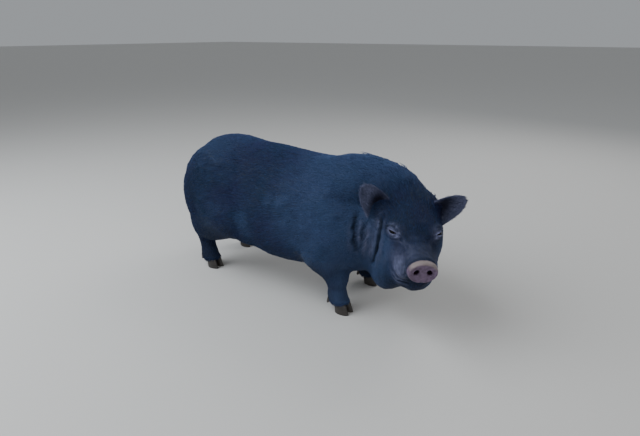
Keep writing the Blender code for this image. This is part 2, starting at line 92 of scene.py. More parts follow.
# ---------------------------------------------------------------- settings
class PigSkinSettings(bpy.types.PropertyGroup):
    grain: FloatProperty(
        name="Grain",
        description="Size of the cells that the skin is grown from",
        default=0.0022,
        subtype="DISTANCE",
    )
    overlap: FloatProperty(
        name="Overlap",
        description="How far each solid is swollen to close the cuts between them",
        default=0.0004,
        subtype="DISTANCE",
    )
    triangles: IntProperty(
        name="Triangles", description="Triangles left before the long ones are cut", default=128000
    )
    fold_strength: FloatProperty(
        name="Folds", description="How deep the folds and wrinkles are", default=1.0
    )
    eye_open: FloatProperty(
        name="Eye opening",
        description="Height of the slit between the lids",
        default=0.0070,
        subtype="DISTANCE",
    )
    lid: FloatProperty(
        name="Lid", description="Thickness of an eyelid", default=0.0016, subtype="DISTANCE"
    )


class PigCoatSettings(bpy.types.PropertyGroup):
    density: FloatProperty(
        name="Density", description="Tufts to a square metre of trunk", default=95000
    )
    length: FloatProperty(
        name="Length",
        description="Length of a tuft on the flank",
        default=0.021,
        subtype="DISTANCE",
    )
    width: FloatProperty(
        name="Width", description="Width of a tuft on the flank", default=0.0010, subtype="DISTANCE"
    )
    guard: FloatProperty(
        name="Guard hairs", description="Long hairs to a square metre of the mane", default=24000
    )
    stray: FloatProperty(
        name="Stray", description="How far tufts turn from the lie of the coat", default=0.15
    )
    seed: IntProperty(name="Seed", description="Changes where the tufts fall", default=7)


class PigFinishSettings(bpy.types.PropertyGroup):
    # The blue in these colours of hide and bristles is partly a painted cold sheen: the reflection of cold
    # light on a black coat.
    hide: FloatVectorProperty(
        name="Hide",
        description="Skin under the bristles",
        default=(0.010, 0.018, 0.040),
        subtype="COLOR",
    )
    # Used on the muzzle, the lids and the crests of the folds.
    pale: FloatVectorProperty(
        name="Pale hide",
        description="Skin of the muzzle, the lids and the rubbed folds",
        default=(0.100, 0.110, 0.190),
        subtype="COLOR",
    )
    nose: FloatVectorProperty(
        name="Nose",
        description="Bare skin of the nose disc",
        default=(0.150, 0.104, 0.172),
        subtype="COLOR",
    )
    bristle: FloatVectorProperty(
        name="Bristle",
        description="Body colour of the bristles",
        default=(0.0130, 0.0250, 0.0730),
        subtype="COLOR",
    )
    bristle_light: FloatVectorProperty(
        name="Bristle light",
        description="The lightest bristles",
        default=(0.0245, 0.0460, 0.1260),
        subtype="COLOR",
    )
    # Lighter bristles: partly dusty hair, partly a painted sheen where the light falls.
    dust_and_sheen: FloatVectorProperty(
        name="Dust",
        description="Bristles of the shoulders, crest and cheeks, lifted by dust",
        default=(0.060, 0.104, 0.222),
        subtype="COLOR",
    )
    horn: FloatVectorProperty(
        name="Horn", description="Colour of the claws", default=(0.040, 0.034, 0.031), subtype="COLOR"
    )


class PigStageSettings(bpy.types.PropertyGroup):
    azimuth: FloatProperty(
        name="Azimuth", description="Camera's angle round the pig", default=radians(35), subtype="ANGLE"
    )
    height: FloatProperty(
        name="Height",
        description="Camera's angle above level",
        default=radians(20.397),
        subtype="ANGLE",
    )
    distance: FloatProperty(
        name="Distance", description="From camera to aim", default=1.522, subtype="DISTANCE"
    )
    lens: FloatProperty(
        name="Lens", description="Focal length of the camera's lens", default=28.125, unit="CAMERA"
    )
    aim: FloatVectorProperty(
        name="Aim",
        description="The point the camera looks at",
        default=(0.0124, 0.0477, 0.2041),
        subtype="XYZ",
    )


# ---------------------------------------------------------------- mesh helpers
def read(data, name, width=3):
    """One value, or a vector, for each element of a mesh's list, as an array."""
    found = np.empty(len(data) * width, np.float32)
    data.foreach_get(name, found)
    return found.reshape(-1, width).astype(float) if width > 1 else found.astype(float)


def points_of(mesh):
    return read(mesh.vertices, "co")


def corners_of(mesh):
    """The three vertices of each face."""
    return read(mesh.polygons, "vertices").astype(int)


def move_points(mesh, points):
    mesh.vertices.foreach_set("co", points.astype(np.float32).ravel())
    mesh.update()


def keep_values(mesh, name, values):
    """Stores a number or a vector for each vertex under a name."""
    kind, key = ("FLOAT_VECTOR", "vector") if values.ndim == 2 else ("FLOAT", "value")
    mesh.attributes.new(name, kind, "POINT")
    mesh.attributes[name].data.foreach_set(key, values.astype(np.float32).ravel())


def object_of(name, shell):
    mesh = bpy.data.meshes.new(name)
    shell.to_mesh(mesh)
    shell.free()
    obj = bpy.data.objects.new(name, mesh)
    bpy.context.scene.collection.objects.link(obj)
    return obj


def settle(obj):
    """Makes an object's modifiers part of its mesh, and drops its vertex groups."""
    bpy.context.view_layer.update()
    graph = bpy.context.evaluated_depsgraph_get()
    mesh = bpy.data.meshes.new_from_object(obj.evaluated_get(graph))
    obj.modifiers.clear()
    obj.data = mesh
    obj.vertex_groups.clear()


def ramp(values, start, end):
    """0 before start, 1 after end and smooth between."""
    share = np.clip((values - start) / (end - start), 0, 1)
    return share * share * (3 - 2 * share)


def mound(*runs, power=2):
    """1 where every run of values is at its middle, and less the further off, by its reach."""
    return np.exp(-sum(((values - middle) / reach) ** power for values, middle, reach in runs))


def length_of(vectors):
    return np.linalg.norm(vectors, axis=1)


def unit(vectors):
    return vectors / np.maximum(length_of(vectors), 1e-9)[:, None]


def in_head(points):
    """Points of the row's frame as the head's own frame has them."""
    back = np.array(HEAD.inverted())
    return points @ back[:3, :3].T + back[:3, 3]


def head_way(vector):
    """A direction of the head's frame as the row's frame has it."""
    return np.array(HEAD_TURN @ Vector(vector))


def waves(points, size, seed):
    """A soft irregular pattern from about -1 to 1, its blotches about `size` across."""
    chance = np.random.default_rng(seed)
    total = np.zeros(len(points))
    for _ in range(7):
        way = chance.normal(size=3)
        way *= 2 * pi / size / np.linalg.norm(way) * chance.uniform(0.5, 1.3)
        total += np.sin(points @ way + chance.uniform(0, 2 * pi))
    return total / 3.5


# ---------------------------------------------------------------- skin
LONGEST_EDGE = 0.0125


def swollen_solids(settings):
    """Copies of the flesh and eyes in one mesh, each grown enough to close the cuts."""
    whole = bmesh.new()
    for name in FLESH + EYES:
        part = bmesh.new()
        part.from_mesh(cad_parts[name].data)
        bmesh.ops.remove_doubles(part, verts=part.verts, dist=0.00001)
        part.normal_update()
        for vert in part.verts:
            vert.co += vert.normal * settings.overlap
        copy = bpy.data.meshes.new(name + "_copy")
        part.to_mesh(copy)
        part.free()
        whole.from_mesh(copy)
        bpy.data.meshes.remove(copy)
    return object_of("skin", whole)


def largest_piece(mesh):
    """Drops every loose bit of a mesh but the largest."""
    shell = bmesh.new()
    shell.from_mesh(mesh)
    left, best = set(shell.verts), []
    while left:
        group, reach = [], [left.pop()]
        while reach:
            vert = reach.pop()
            group.append(vert)
            near = {edge.other_vert(vert) for edge in vert.link_edges} & left
            left -= near
            reach.extend(near)
        best = max(best, group, key=len)
    keep = set(best)
    bmesh.ops.delete(shell, geom=[v for v in shell.verts if v not in keep], context="VERTS")
    shell.to_mesh(mesh)
    shell.free()


def grown(settings):
    """The solids' shape as one even mesh."""
    skin = swollen_solids(settings)
    remesh = skin.modifiers.new("grow", "REMESH")
    remesh.mode = "VOXEL"
    remesh.voxel_size = settings.grain
    settle(skin)
    largest_piece(skin.data)
    return skin


def nearest_nodes(points):
    """For each point, the index in FLESH of the solid it is nearest."""
    corners, faces, owners = [], [], []
    for index, name in enumerate(FLESH):
        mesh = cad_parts[name].data
        start = len(corners)
        corners += [vert.co.copy() for vert in mesh.vertices]
        faces += [[start + i for i in face.vertices] for face in mesh.polygons]
        owners += [index] * len(mesh.polygons)
    tree = BVHTree.FromPolygons(corners, faces)
    return np.array([owners[tree.find_nearest(spot)[2]] for spot in points.tolist()])


class Place:
    """Where each vertex of a skin is: its region, and its spot in the head's frame."""

    def __init__(self, mesh):
        self.points = points_of(mesh)
        self.normals = read(mesh.vertices, "normal")
        self.node = nearest_nodes(self.points)
        self.head = in_head(self.points)
        self.head_normals = self.normals @ np.array(HEAD_TURN)

    def of(self, *words):
        """1 on the nodes whose names start with any of the words, and 0 elsewhere."""
        wanted = [i for i, name in enumerate(FLESH) if name.startswith(words)]
        return np.isin(self.node, wanted).astype(float)

    def headward(self):
        """0 on the neck's root, rising to 1 on the head."""
        near = ramp(self.points[:, 0], 0.10, 0.22)
        return ramp(self.head[:, 0], -0.10, 0.03) * near

    def face(self):
        """0 behind the cheeks, 1 from the eyes forwards."""
        return ramp(self.head[:, 0], 0.02, 0.10) * self.headward() * (1 - self.of("ear"))

    def foot(self):
        """0 above the knees and hocks, 1 at the coronets."""
        return self.of("foreleg", "hindleg") * ramp(-self.points[:, 2], -0.13, -0.05)

    def coronet(self):
        """1 on the lowest band of a leg, whose hair hangs over the claws, and 0 above."""
        return self.of("foreleg", "hindleg") * ramp(-self.points[:, 2], -0.046, -0.034)


def grouped(obj, name, weights):
    """A vertex group with a weight for each vertex, in steps of a hundredth."""
    group = obj.vertex_groups.new(name=name)
    steps = np.round(weights * 100).astype(int)
    for step in np.unique(steps[steps > 0]).tolist():
        group.add(np.flatnonzero(steps == step).tolist(), step / 100, "REPLACE")
    return name


def smoothed(skin):
    """Rubs the solids' flat faces away, less on the thin and the small parts."""
    place = Place(skin.data)
    firm = np.maximum(place.of("ear", "tail", "nose"), 0.55 * place.face())
    firm = np.maximum(firm, 0.6 * place.foot())
    for name, weight, rounds in (("broad", 1 - firm, 45), ("fine", firm, 6)):
        smooth = skin.modifiers.new(name, "SMOOTH")
        smooth.factor = 0.5
        smooth.iterations = rounds
        smooth.vertex_group = grouped(skin, name, weight)
    settle(skin)


def rubbed(skin):
    """Takes the burrs off the ears' thin rims."""
    smooth = skin.modifiers.new("rims", "SMOOTH")
    smooth.iterations = 5
    smooth.vertex_group = grouped(skin, "rims", Place(skin.data).of("ear"))
    settle(skin)


def coat_depth(place):
    """How far the skin lies inside the solids' outline: by the depth of the coat."""
    depth = 0.0026 - 0.0010 * place.face() - 0.0006 * place.foot()
    depth += 0.0016 * crest(place)
    depth = depth * (1 - place.of("nose", "ear")) + 0.0004 * place.of("ear")
    depth = depth * (1 - place.of("tail_switch")) + 0.0045 * place.of("tail_switch")
    return depth * (1 - 0.9 * place.coronet()) + 0.0004


def crest(place):
    """1 along the top of the neck and withers, where the mane stands, and 0 elsewhere."""
    up = ramp(place.normals[:, 2], 0.55, 0.95)
    x = place.points[:, 0]
    along = ramp(x, 0.11, 0.23) * (1 - ramp(place.head[:, 0], -0.02, 0.05))
    return up * along * (1 - place.of("ear"))


def thinned(skin, settings):
    """Spends the triangles on the head, and few on the trunk."""
    place = Place(skin.data)
    keep = 0.75 * place.headward() + 0.25 * place.face() + 0.3 * place.of("tail")
    keep = np.maximum(keep, 0.5 * place.foot())
    keep = np.maximum(keep, place.of("ear", "nose"))
    decimate = skin.modifiers.new("fewer", "DECIMATE")
    decimate.vertex_group = grouped(skin, "spare", 1 - np.clip(keep, 0, 1))
    decimate.vertex_group_factor = 1.0
    skin.data.calc_loop_triangles()
    decimate.ratio = settings.triangles / len(skin.data.loop_triangles)
    settle(skin)


def evened(skin):
    """Halves the skin's long edges, so that what is worked out at its corners holds between them."""
    shell = bmesh.new()
    shell.from_mesh(skin.data)
    for _ in range(4):
        long = [edge for edge in shell.edges if edge.calc_length() > LONGEST_EDGE]
        if not long:
            break
        bmesh.ops.subdivide_edges(shell, edges=long, cuts=1)
        bmesh.ops.triangulate(shell, faces=[face for face in shell.faces if len(face.verts) > 3])
    shell.to_mesh(skin.data)
    shell.free()


def refined(skin):
    """Finer faces round the eyes and on the nose, for the lids and the nostrils."""
    nose = HEAD @ Vector((NOSE_FACE - 0.004, 0, NOSE.z))
    ahead = HEAD_TURN @ Vector((1, 0, 0))
    for reach, nose_reach in ((0.020, 0.045), (0.0145, 0.0)):
        shell = bmesh.new()
        shell.from_mesh(skin.data)
        edges = set()
        for face in shell.faces:
            spot = face.calc_center_median()
            eye = min((spot - MIDDLES[name]).length for name in EYES) < reach
            front = (spot - nose).dot(ahead) > -0.004 and (spot - nose).length < nose_reach
            if eye or front:
                edges.update(face.edges)
        bmesh.ops.subdivide_edges(shell, edges=list(edges), cuts=1, use_grid_fill=True)
        bmesh.ops.triangulate(shell, faces=shell.faces)
        shell.to_mesh(skin.data)
        shell.free()


# Folds: each is its path, its depth, its half width, and whether both sides have it.
# Those of the face and the neck are in the head's frame.
FACE_FOLDS = [
    ("brow", [(0.080, 0.073, 0.018), (0.089, 0.062, 0.038), (0.101, 0.044, 0.043)], 0.0022, 0.0026, 1),
    ("under eye", [(0.086, 0.070, 0.008), (0.104, 0.062, 0.008), (0.120, 0.043, 0.016)],
     0.0016, 0.0024, 1),
    ("tear", [(0.118, 0.041, 0.022), (0.135, 0.031, 0.020), (0.152, 0.026, 0.018)], 0.0028, 0.0030, 1),
    ("temple", [(0.046, 0.076, 0.030), (0.062, 0.078, 0.010), (0.073, 0.081, -0.020),
                (0.075, 0.084, -0.055), (0.070, 0.087, -0.095)], 0.0085, 0.0064, 1),
    ("jowl", [(0.100, 0.070, -0.030), (0.104, 0.072, -0.055), (0.100, 0.074, -0.085)],
     0.0016, 0.0050, 1),
    ("mouth", [(0.118, 0.060, -0.064), (0.142, 0.050, -0.070), (0.160, 0.042, -0.071),
               (0.173, 0.028, -0.067), (0.183, 0.012, -0.064)], 0.0042, 0.0022, 1),
    ("brow line", [(0.088, 0.030, 0.058), (0.093, 0.014, 0.056), (0.091, 0.0, 0.057)], 0.0014, 0.0030, 1),
    ("bridge", [(0.122, 0.028, 0.026), (0.128, 0.014, 0.033), (0.129, 0.0, 0.034)], 0.0014, 0.0026, 1),
    ("bridge front", [(0.142, 0.026, 0.022), (0.147, 0.013, 0.029), (0.148, 0.0, 0.029)],
     0.0011, 0.0024, 1),
    ("lip crease", [(0.186, 0.034, -0.006), (0.190, 0.036, -0.020), (0.184, 0.034, -0.036)],
     0.0018, 0.0024, 1),
]
NECK_FOLDS = [
    ("ear fold", [(0.022, -0.106, 0.006), (0.036, -0.113, -0.030), (0.047, -0.116, -0.075),
                  (0.050, -0.110, -0.110)], 0.0026, 0.0056, 0),
    ("neck fold", [(0.002, -0.130, 0.024), (0.024, -0.133, -0.016), (0.040, -0.130, -0.060),
                   (0.046, -0.120, -0.100)], 0.0030, 0.0066, 0),
]
BODY_FOLDS = [
    ("rib fold", [(0.052, -0.128, 0.364), (0.028, -0.144, 0.336), (0.000, -0.156, 0.290)],
     0.0046, 0.0056, 1),
    ("rib fold back", [(-0.022, -0.138, 0.326), (-0.034, -0.148, 0.304), (-0.044, -0.154, 0.284)],
     0.0040, 0.0052, 1),
    ("elbow", [(0.072, -0.150, 0.225), (0.080, -0.160, 0.180), (0.090, -0.150, 0.140)],
     0.0055, 0.0085, 1),
    ("flank", [(-0.130, -0.150, 0.255), (-0.125, -0.160, 0.205), (-0.120, -0.150, 0.165)],
     0.0050, 0.0095, 1),
]


def fold(points, path, depth, width):
    """How far a fold moves each point along its normal: in along it, out beside it."""
    path = np.array(path, float)
    moves = np.zeros(len(points))
    low, high = path.min(0) - 4 * width, path.max(0) + 4 * width
    near = np.flatnonzero(((points > low) & (points < high)).all(1))
    if not len(near):
        return moves
    steps = np.linalg.norm(np.diff(path, axis=0), axis=1)
    before = np.concatenate([[0], np.cumsum(steps)])
    best, share = np.full(len(near), 1e9), np.zeros(len(near))
    for start, end, passed, step in zip(path, path[1:], before, steps):
        along = (end - start) / step
        run = np.clip((points[near] - start) @ along, 0, step)
        gap = length_of(points[near] - start - run[:, None] * along)
        share = np.where(gap < best, (passed + run) / before[-1], share)
        best = np.minimum(best, gap)
    fade = np.sin(np.clip(share, 0.02, 0.98) * pi) ** 0.6
    lips = mound((best, 2.1 * width, 1.1 * width))
    moves[near] = depth * fade * (0.35 * lips - mound((best, 0, width)))
    return moves


def folded(place, strength):
    """The moves of all folds, along the normals."""
    moves = np.zeros(len(place.points))
    wander = np.stack([0.0022 * waves(place.points, 0.028, 60 + k) for k in range(3)], 1)
    head, body = place.head + wander, place.points + wander
    for sets, points in ((FACE_FOLDS, head), (NECK_FOLDS, head), (BODY_FOLDS, body)):
        for _, path, depth, width, both in sets:
            moves += fold(points, path, depth * strength, width)
            if both:
                twin = [(x, -y, z) for x, y, z in path]
                moves += fold(points, twin, depth * strength, width)
    return moves * (1 - place.of("ear"))


def wrinkled(place):
    """Small irregular unevenness: fat under the skin, and fine wrinkles on the face."""
    broad = 0.0012 * waves(place.points, 0.07, 3) * (1 - place.headward())
    face = place.face() * (1 - place.of("nose"))
    fine = 0.00045 * waves(place.head * (1.0, 0.5, 1.0), 0.011, 5) * face
    return (broad + fine) * (1 - place.of("ear", "tail", "nose"))


def eye_axes(side):
    """The middle of an eye, and its ways outwards, to the outer corner and upwards."""
    centre = np.array(MIDDLES["eye_left" if side > 0 else "eye_right"])
    out = head_way(Vector((0.56, side * 0.76, 0.33)).normalized())
    back = head_way(Vector((-0.80, side * 0.58, -0.17)))
    back -= out * (back @ out)
    back /= np.linalg.norm(back)
    up = np.cross(out, back)
    up *= np.sign(up @ head_way((0, 0, 1)))
    return centre, out, back, up


def arched(across, height, level, bow, reach, width):
    """A smooth ridge, 1 along its top, that bows over or under the eye."""
    line = level - bow * (across / reach) ** 2
    return mound((np.abs(across), 0, reach), power=4) * mound((height, line, width))


# Lines round each eye: how far the skin rises along it, the height it bows at over the
# eye's middle, its bow, its half length and its half width.
EYE_LINES = (
    ("brow", 0.0034, 0.0150, 0.010, 0.022, 0.0058),
    ("crease of the upper lid", -0.0013, 0.0087, 0.006, 0.015, 0.0019),
    ("bag", 0.0022, -0.0135, -0.007, 0.018, 0.0050),
    ("crease of the lower lid", -0.0011, -0.0083, -0.0045, 0.014, 0.0018),
    ("crease under the bag", -0.0012, -0.0190, -0.0070, 0.018, 0.0022),
)


def lidded(points, settings):
    """Draws the skin round each eye into folds and lids with a narrow slit between them."""
    for side in SIDES.values():
        centre, out, back, up = eye_axes(side)
        arm = points - centre
        near = np.flatnonzero((length_of(arm) < 0.042) & (arm @ out > -0.004))
        arm = arm[near]
        across, height, deep = arm @ back, arm @ up, arm @ out
        # the lines round the eye, and the creases that run from its corners
        rise = sum(lift * arched(across, height, *line) for _, lift, *line in EYE_LINES)
        rise -= 0.0012 * mound((across, 0.0170, 0.006), (height, 0.0005, 0.0018))
        rise -= 0.0014 * mound((across, -0.0160, 0.006), (height, -0.0030, 0.0022))
        deep = deep + rise
        # over the ball: lids of even thickness, then the slit sunk behind the ball's face
        flat = np.hypot(across, height)
        shell = EYE_RADIUS + settings.lid
        dome = np.sqrt(np.clip(shell**2 - flat**2, 0, None))
        blend = ramp(flat, 0.0085, 0.0125)
        deep = np.where(flat < 0.0126, np.maximum(deep, dome) * (1 - blend) + deep * blend, deep)
        share = np.clip(1 - (across / SLIT_HALF) ** 2, 0, 1)
        line = 0.0004 + 0.05 * across - 0.0006 * (across / SLIT_HALF) ** 2
        half = 0.5 * settings.eye_open * share**0.45
        away = np.abs(height - line) - half
        rim = mound((away, 0.0011, 0.0009)) * ramp(share, 0.0, 0.3)
        deep += 0.0005 * rim
        inside = (1 - ramp(away, -0.0004, 0.0005)) * ramp(share, 0.0, 0.12)
        floor = np.sqrt(np.clip((EYE_RADIUS - SLIT_DEPTH) ** 2 - flat**2, 0, None))
        deep = deep * (1 - inside) + floor * inside
        points[near] = centre + across[:, None] * back + height[:, None] * up + deep[:, None] * out
    return points


def nosed(place, points):
    """Shapes the nose disc: a raised rim, a hollow face, the nostrils and the notch."""
    x, y = place.head[:, 0], place.head[:, 1] - NOSE.y
    z = place.head[:, 2] - NOSE.z
    front = ramp(x, NOSE_FACE - 0.0035, NOSE_FACE - 0.0008)
    edge = np.hypot(y / DISC_HALF[0], z / DISC_HALF[1])
    push = 0.0014 * mound((edge, 0.90, 0.10)) * front
    push -= 0.0016 * (1 - ramp(edge, 0.55, 0.92)) * front
    push += 0.0006 * mound((y, 0, 0.004)) * (1 - ramp(edge, 0.4, 0.8)) * front
    notch = mound((y, 0, 0.0045)) * ramp(-z, 0.012, 0.028)
    push -= 0.0030 * notch * front
    points = points + push[:, None] * head_way((1, 0, 0))
    deep = in_head(points)[:, 0]
    target = deep.copy()
    for side, height in NOSTRILS:
        across, over = y - side, z - height
        tilt = NOSTRIL_TILT * np.sign(side)
        wide = across * cos(tilt) + over * sin(tilt)
        tall = -across * sin(tilt) + over * cos(tilt)
        ring = np.hypot(wide / NOSTRIL_HALF[0], tall / NOSTRIL_HALF[1])
        near = deep > NOSE_FACE - 0.0135
        hole = NOSE_FACE - NOSTRIL_DEPTH * (1 - ramp(ring, 0.68, 1.0))
        target = np.where((ring < 1) & near, np.minimum(target, hole), target)
        target += 0.0011 * mound((ring, 1.18, 0.16)) * front
    return points + (target - deep)[:, None] * head_way((1, 0, 0))


def behind_disc(place):
    """The groove round the snout just behind the disc, along the normals."""
    return -0.0022 * mound((place.head[:, 0] - NOSE_FACE, -0.0175, 0.0028)) * place.of("nose", "snout")


def ear_frame(side):
    """An ear's root and its ways to the tip, across it, and out of its hollow side."""
    lift = EAR_LIFT[side]
    along = Vector((EAR_FORWARD[side], side * cos(lift), sin(lift))).normalized()
    across = Vector((0, -side * sin(lift), cos(lift)))
    hollow = along.cross(across)
    hollow *= 1 if hollow.x > 0 else -1
    return tuple(np.array(value) for value in (EAR_ROOT[side], along, across, hollow))


def inner_ear(place):
    """1 in the hollow of the ears and on the head beside it, fading to 0 at their rims; the finishes paint
    shade there.
    """
    total = np.zeros(len(place.points))
    for word, side in SIDES.items():
        root, _, _, hollow = ear_frame(side)
        local = place.head - root
        out, up = side * local[:, 1], local[:, 2]
        facing = ramp(place.head_normals @ hollow, 0.0, 0.4)
        pit = mound((out, 0.020, 0.017), (up, 0.018, 0.036))
        # On the head beside each ear's root: painted shade.
        beside = mound((out, 0.012, 0.013), (up, -0.012, 0.022))
        beside *= mound((local[:, 0], 0.008, 0.014)) * (side * place.head[:, 1] > 0)
        total += EAR_DARK[side] * facing * np.clip(1.25 * pit, 0, 1) * place.of("ear_" + word)
        total += 0.85 * beside * place.of("head")
    return np.clip(total, 0, 1)


def eared(place):
    """Thins the ears towards their edges, and sinks the hollow at their roots."""
    moves = np.zeros(len(place.points))
    for word, side in SIDES.items():
        root, along, across, hollow = ear_frame(side)
        local = place.head - root
        far, over = local @ along, local @ across
        on = place.of("ear_" + word)
        thin = 0.0007 * ramp(far, 0.020, 0.075)
        facing = ramp(place.head_normals @ hollow, 0.05, 0.5)
        pit = 0.0030 * mound((far, 0.030, 0.016), (over, -0.006, 0.015))
        moves -= on * (thin + pit * facing)
    return moves


def sculpted(skin, settings):
    """Gives the even skin its folds, lids, nostrils and ears."""
    place = Place(skin.data)
    folds = folded(place, settings.fold_strength)
    # The finishes darken the creases: painted shade in the folds' grooves.
    keep_values(skin.data, "crease", ramp(-folds, 0.0002, 0.0020))
    keep_values(skin.data, "ridge", ramp(folds, 0.0001, 0.0010))
    moves = folds + wrinkled(place) + behind_disc(place) + eared(place)
    points = place.points + moves[:, None] * place.normals
    points = nosed(place, points)
    points = lidded(points, settings)
    move_points(skin.data, points)


# ---------------------------------------------------------------- markings and lie
def paleness(place, ridge):
    """0 on black hide, 1 on the muzzle and 2 on the palest: lids and the crests of folds."""
    x, y, z = place.head.T
    side = np.abs(y)
    muzzle = mound((x, 0.160, 0.034), (z, -0.028, 0.034)) * ramp(side, 0.02, 0.04)
    bridge = 0.35 * mound((x, 0.170, 0.030), (z, 0.012, 0.02))
    lids = np.zeros(len(x))
    for eye in SIDES.values():
        centre, out, back, up = eye_axes(eye)
        arm = place.points - centre
        across, height = arm @ back, arm @ up
        near = length_of(arm - 0.010 * out) < 0.034
        lids += 1.20 * near * mound((across, 0, 0.0155), (height, -0.001, 0.0085), power=4)
        lids += 0.65 * near * mound((across, -0.0150, 0.0090), (height, -0.0060, 0.0120))
        lids += 0.55 * near * mound((across, -0.0020, 0.0150), (height, 0.0130, 0.0060))
    pale = np.maximum(muzzle, bridge) + lids
    band = x - 0.040 - 0.10 * np.clip(-z, 0, 0.1)
    band = mound((band, 0, 0.017), (z, -0.030, 0.050))
    pale += 0.50 * band * ramp(side, 0.068, 0.076) * (1 - ramp(side, 0.118, 0.138))
    pale *= place.headward() * (1 - place.of("ear", "nose"))
    ear = 1.05 * place.of("ear") * (1 - inner_ear(place))
    fine = 0.30 * waves(place.head, 0.0085, 13) * place.face()
    pale += 0.75 * ridge * ramp(x, 0.005, 0.040) * (0.35 + np.clip(pale, 0, 1)) * place.headward()
    blotch = 1 + 0.25 * waves(place.points, 0.035, 11) + fine
    return np.clip((pale + ear) * blotch, 0, 2)


def dust_and_sheen_of(place, ridge):
    """0 on the blackest coat, 1 where its colour is lifted, partly as dusty hair and partly by painted
    sheen where the light falls: shoulders, crest, cheeks, the rump's top and the crests of folds.
    """
    x, _, z = place.points.T
    side, over = np.abs(place.head[:, 1]), place.head[:, 2]
    # The colour is lifted most on the shoulders, the crest, the rump's top, the lower cheeks and the
    # folds' crests: partly dusty hair, partly painted sheen where the light falls.
    front = ramp(x, -0.06, 0.10)
    top = ramp(place.normals[:, 2], 0.1, 0.8) * ramp(-x, 0.12, 0.32)
    body = (0.14 + 0.95 * front + 0.25 * crest(place) + 0.42 * top) * ramp(z, 0.08, 0.22)
    cheek = 0.8 * ramp(side, 0.040, 0.070) * (1 - ramp(over, -0.01, 0.03))
    cheek = np.maximum(cheek, ramp(side, 0.080, 0.095) * (1 - ramp(over, 0.02, 0.04)))
    share = place.headward()
    dust_and_sheen = body * (1 - share) + cheek * share + 0.55 * ridge * (1 - share)
    patchy = 0.22 * waves(place.points, 0.05, 51) + 0.16 * waves(place.points, 0.014, 52)
    return np.clip(dust_and_sheen * (1 + patchy), 0, 1)


def nose_mask(place):
    """1 on the bare disc and 0 behind it, with a soft irregular border."""
    x = place.head[:, 0] + 0.0008 * waves(place.head, 0.012, 8)
    near = np.hypot(place.head[:, 1] - NOSE.y, place.head[:, 2] - NOSE.z) < 0.05
    return ramp(x, NOSE_FACE - 0.0140, NOSE_FACE - 0.0105) * near


def disc_rim(place):
    """1 on the upper rim of the disc."""
    across, over = place.head[:, 1] - NOSE.y, place.head[:, 2] - NOSE.z
    edge = np.hypot(across / DISC_HALF[0], over / DISC_HALF[1])
    return ramp(edge, 0.76, 0.98) * ramp(over, 0.002, 0.020) * nose_mask(place)


def nostril_mask(place):
    """1 inside the nostrils and 0 outside."""
    total = np.zeros(len(place.points))
    for side, height in NOSTRILS:
        across = place.head[:, 1] - NOSE.y - side
        over = place.head[:, 2] - NOSE.z - height
        sunk = ramp(NOSE_FACE - place.head[:, 0], 0.0022, 0.0055)
        total += sunk * (np.hypot(across, over) < 0.0100)
    return total * (place.head[:, 0] > NOSE_FACE - 0.016)


def slit_mask(place):
    """1 within and just beside the slit of each eye, where no hair grows."""
    total = np.zeros(len(place.points))
    for side in SIDES.values():
        centre, _, back, up = eye_axes(side)
        arm = place.points - centre
        wide = arm @ back / 0.0125
        tall = (arm @ up + 0.0012) / 0.0048
        total += np.exp(-((wide**2 + tall**2) ** 2)) * (length_of(arm) < 0.022)
    return np.clip(total, 0, 1)


def lie_of(place):
    """The way the hair runs at each vertex, along the skin."""
    x, _, z = place.points.T
    hx, hy, hz = place.head.T
    down = np.array((0, 0, -1.0))
    back = np.tile((-1.0, 0, 0), (len(x), 1))
    side_drop = ramp(-place.normals[:, 2], -0.75, 0.3)
    body = back + (0.42 * side_drop)[:, None] * down
    rump = ramp(-x, 0.27, 0.40)
    body += (1.6 * rump)[:, None] * down
    cheek = np.maximum(0.4 * ramp(-hz, 0.0, 0.08), 0.8 * ramp(np.abs(hy), 0.055, 0.095))
    head = head_way((-1, 0, 0)) + cheek[:, None] * head_way((0, 0, -1))
    brow = ramp(hz, 0.02, 0.07) * ramp(-hx, -0.11, 0.0)
    head += (0.25 * brow * np.sign(hy))[:, None] * head_way((0, 1, 0))
    chin = ramp(place.head_normals[:, 0], 0.3, 0.8) * ramp(-hz, 0.03, 0.06)
    head += (1.6 * chin)[:, None] * head_way((0, 0, -1))
    share = (place.headward() * (1 - ramp(np.abs(hy), 0.095, 0.135)))[:, None]
    lie = unit(body) * (1 - share) + unit(head) * share
    leg = ramp(-z, -0.215, -0.13) * place.of("foreleg", "hindleg")
    lie = lie * (1 - leg)[:, None] + leg[:, None] * (down + 0.25 * back)
    for word, side in SIDES.items():
        along = ear_frame(side)[1]
        on = place.of("ear_" + word)[:, None]
        lie = lie * (1 - on) + on * head_way(along)
    tail = place.of("tail")[:, None]
    lie = lie * (1 - tail) + tail * down
    swirl = np.stack([waves(place.points, 0.13, 20 + k) for k in range(3)], 1)
    lie = unit(lie) + 0.16 * swirl * (1 - 0.6 * place.headward())[:, None]
    lie -= place.normals * (lie * place.normals).sum(1)[:, None]
    return unit(lie)


PROBE_HEIGHT = 0.010


def leaned(place, mesh, lie, reach):
    """The hair's way and the skin's outward way, leant to follow the skin to a tuft's tip.

    Rays cast down on the skin ahead of each vertex tell how it rises under the tuft.
    """
    tree = BVHTree.FromPolygons(place.points.tolist(), corners_of(mesh).tolist())
    high = PROBE_HEIGHT * place.normals
    down = (-high).tolist()
    slope = np.full(len(reach), -0.30)
    for share in (0.45, 0.8, 1.15):
        run = share * reach
        starts = (place.points + lie * run[:, None] + high).tolist()
        for index, start in enumerate(starts):
            spot = tree.ray_cast(start, down[index], 2 * PROBE_HEIGHT)[0]
            if spot is not None:
                rise = PROBE_HEIGHT - (Vector(start) - spot).length
                slope[index] = max(slope[index], rise / run[index])
    slope = np.clip(slope, -0.20 * (1 - place.coronet()), 0.45)[:, None]
    return unit(lie + slope * place.normals), unit(place.normals - slope * lie)


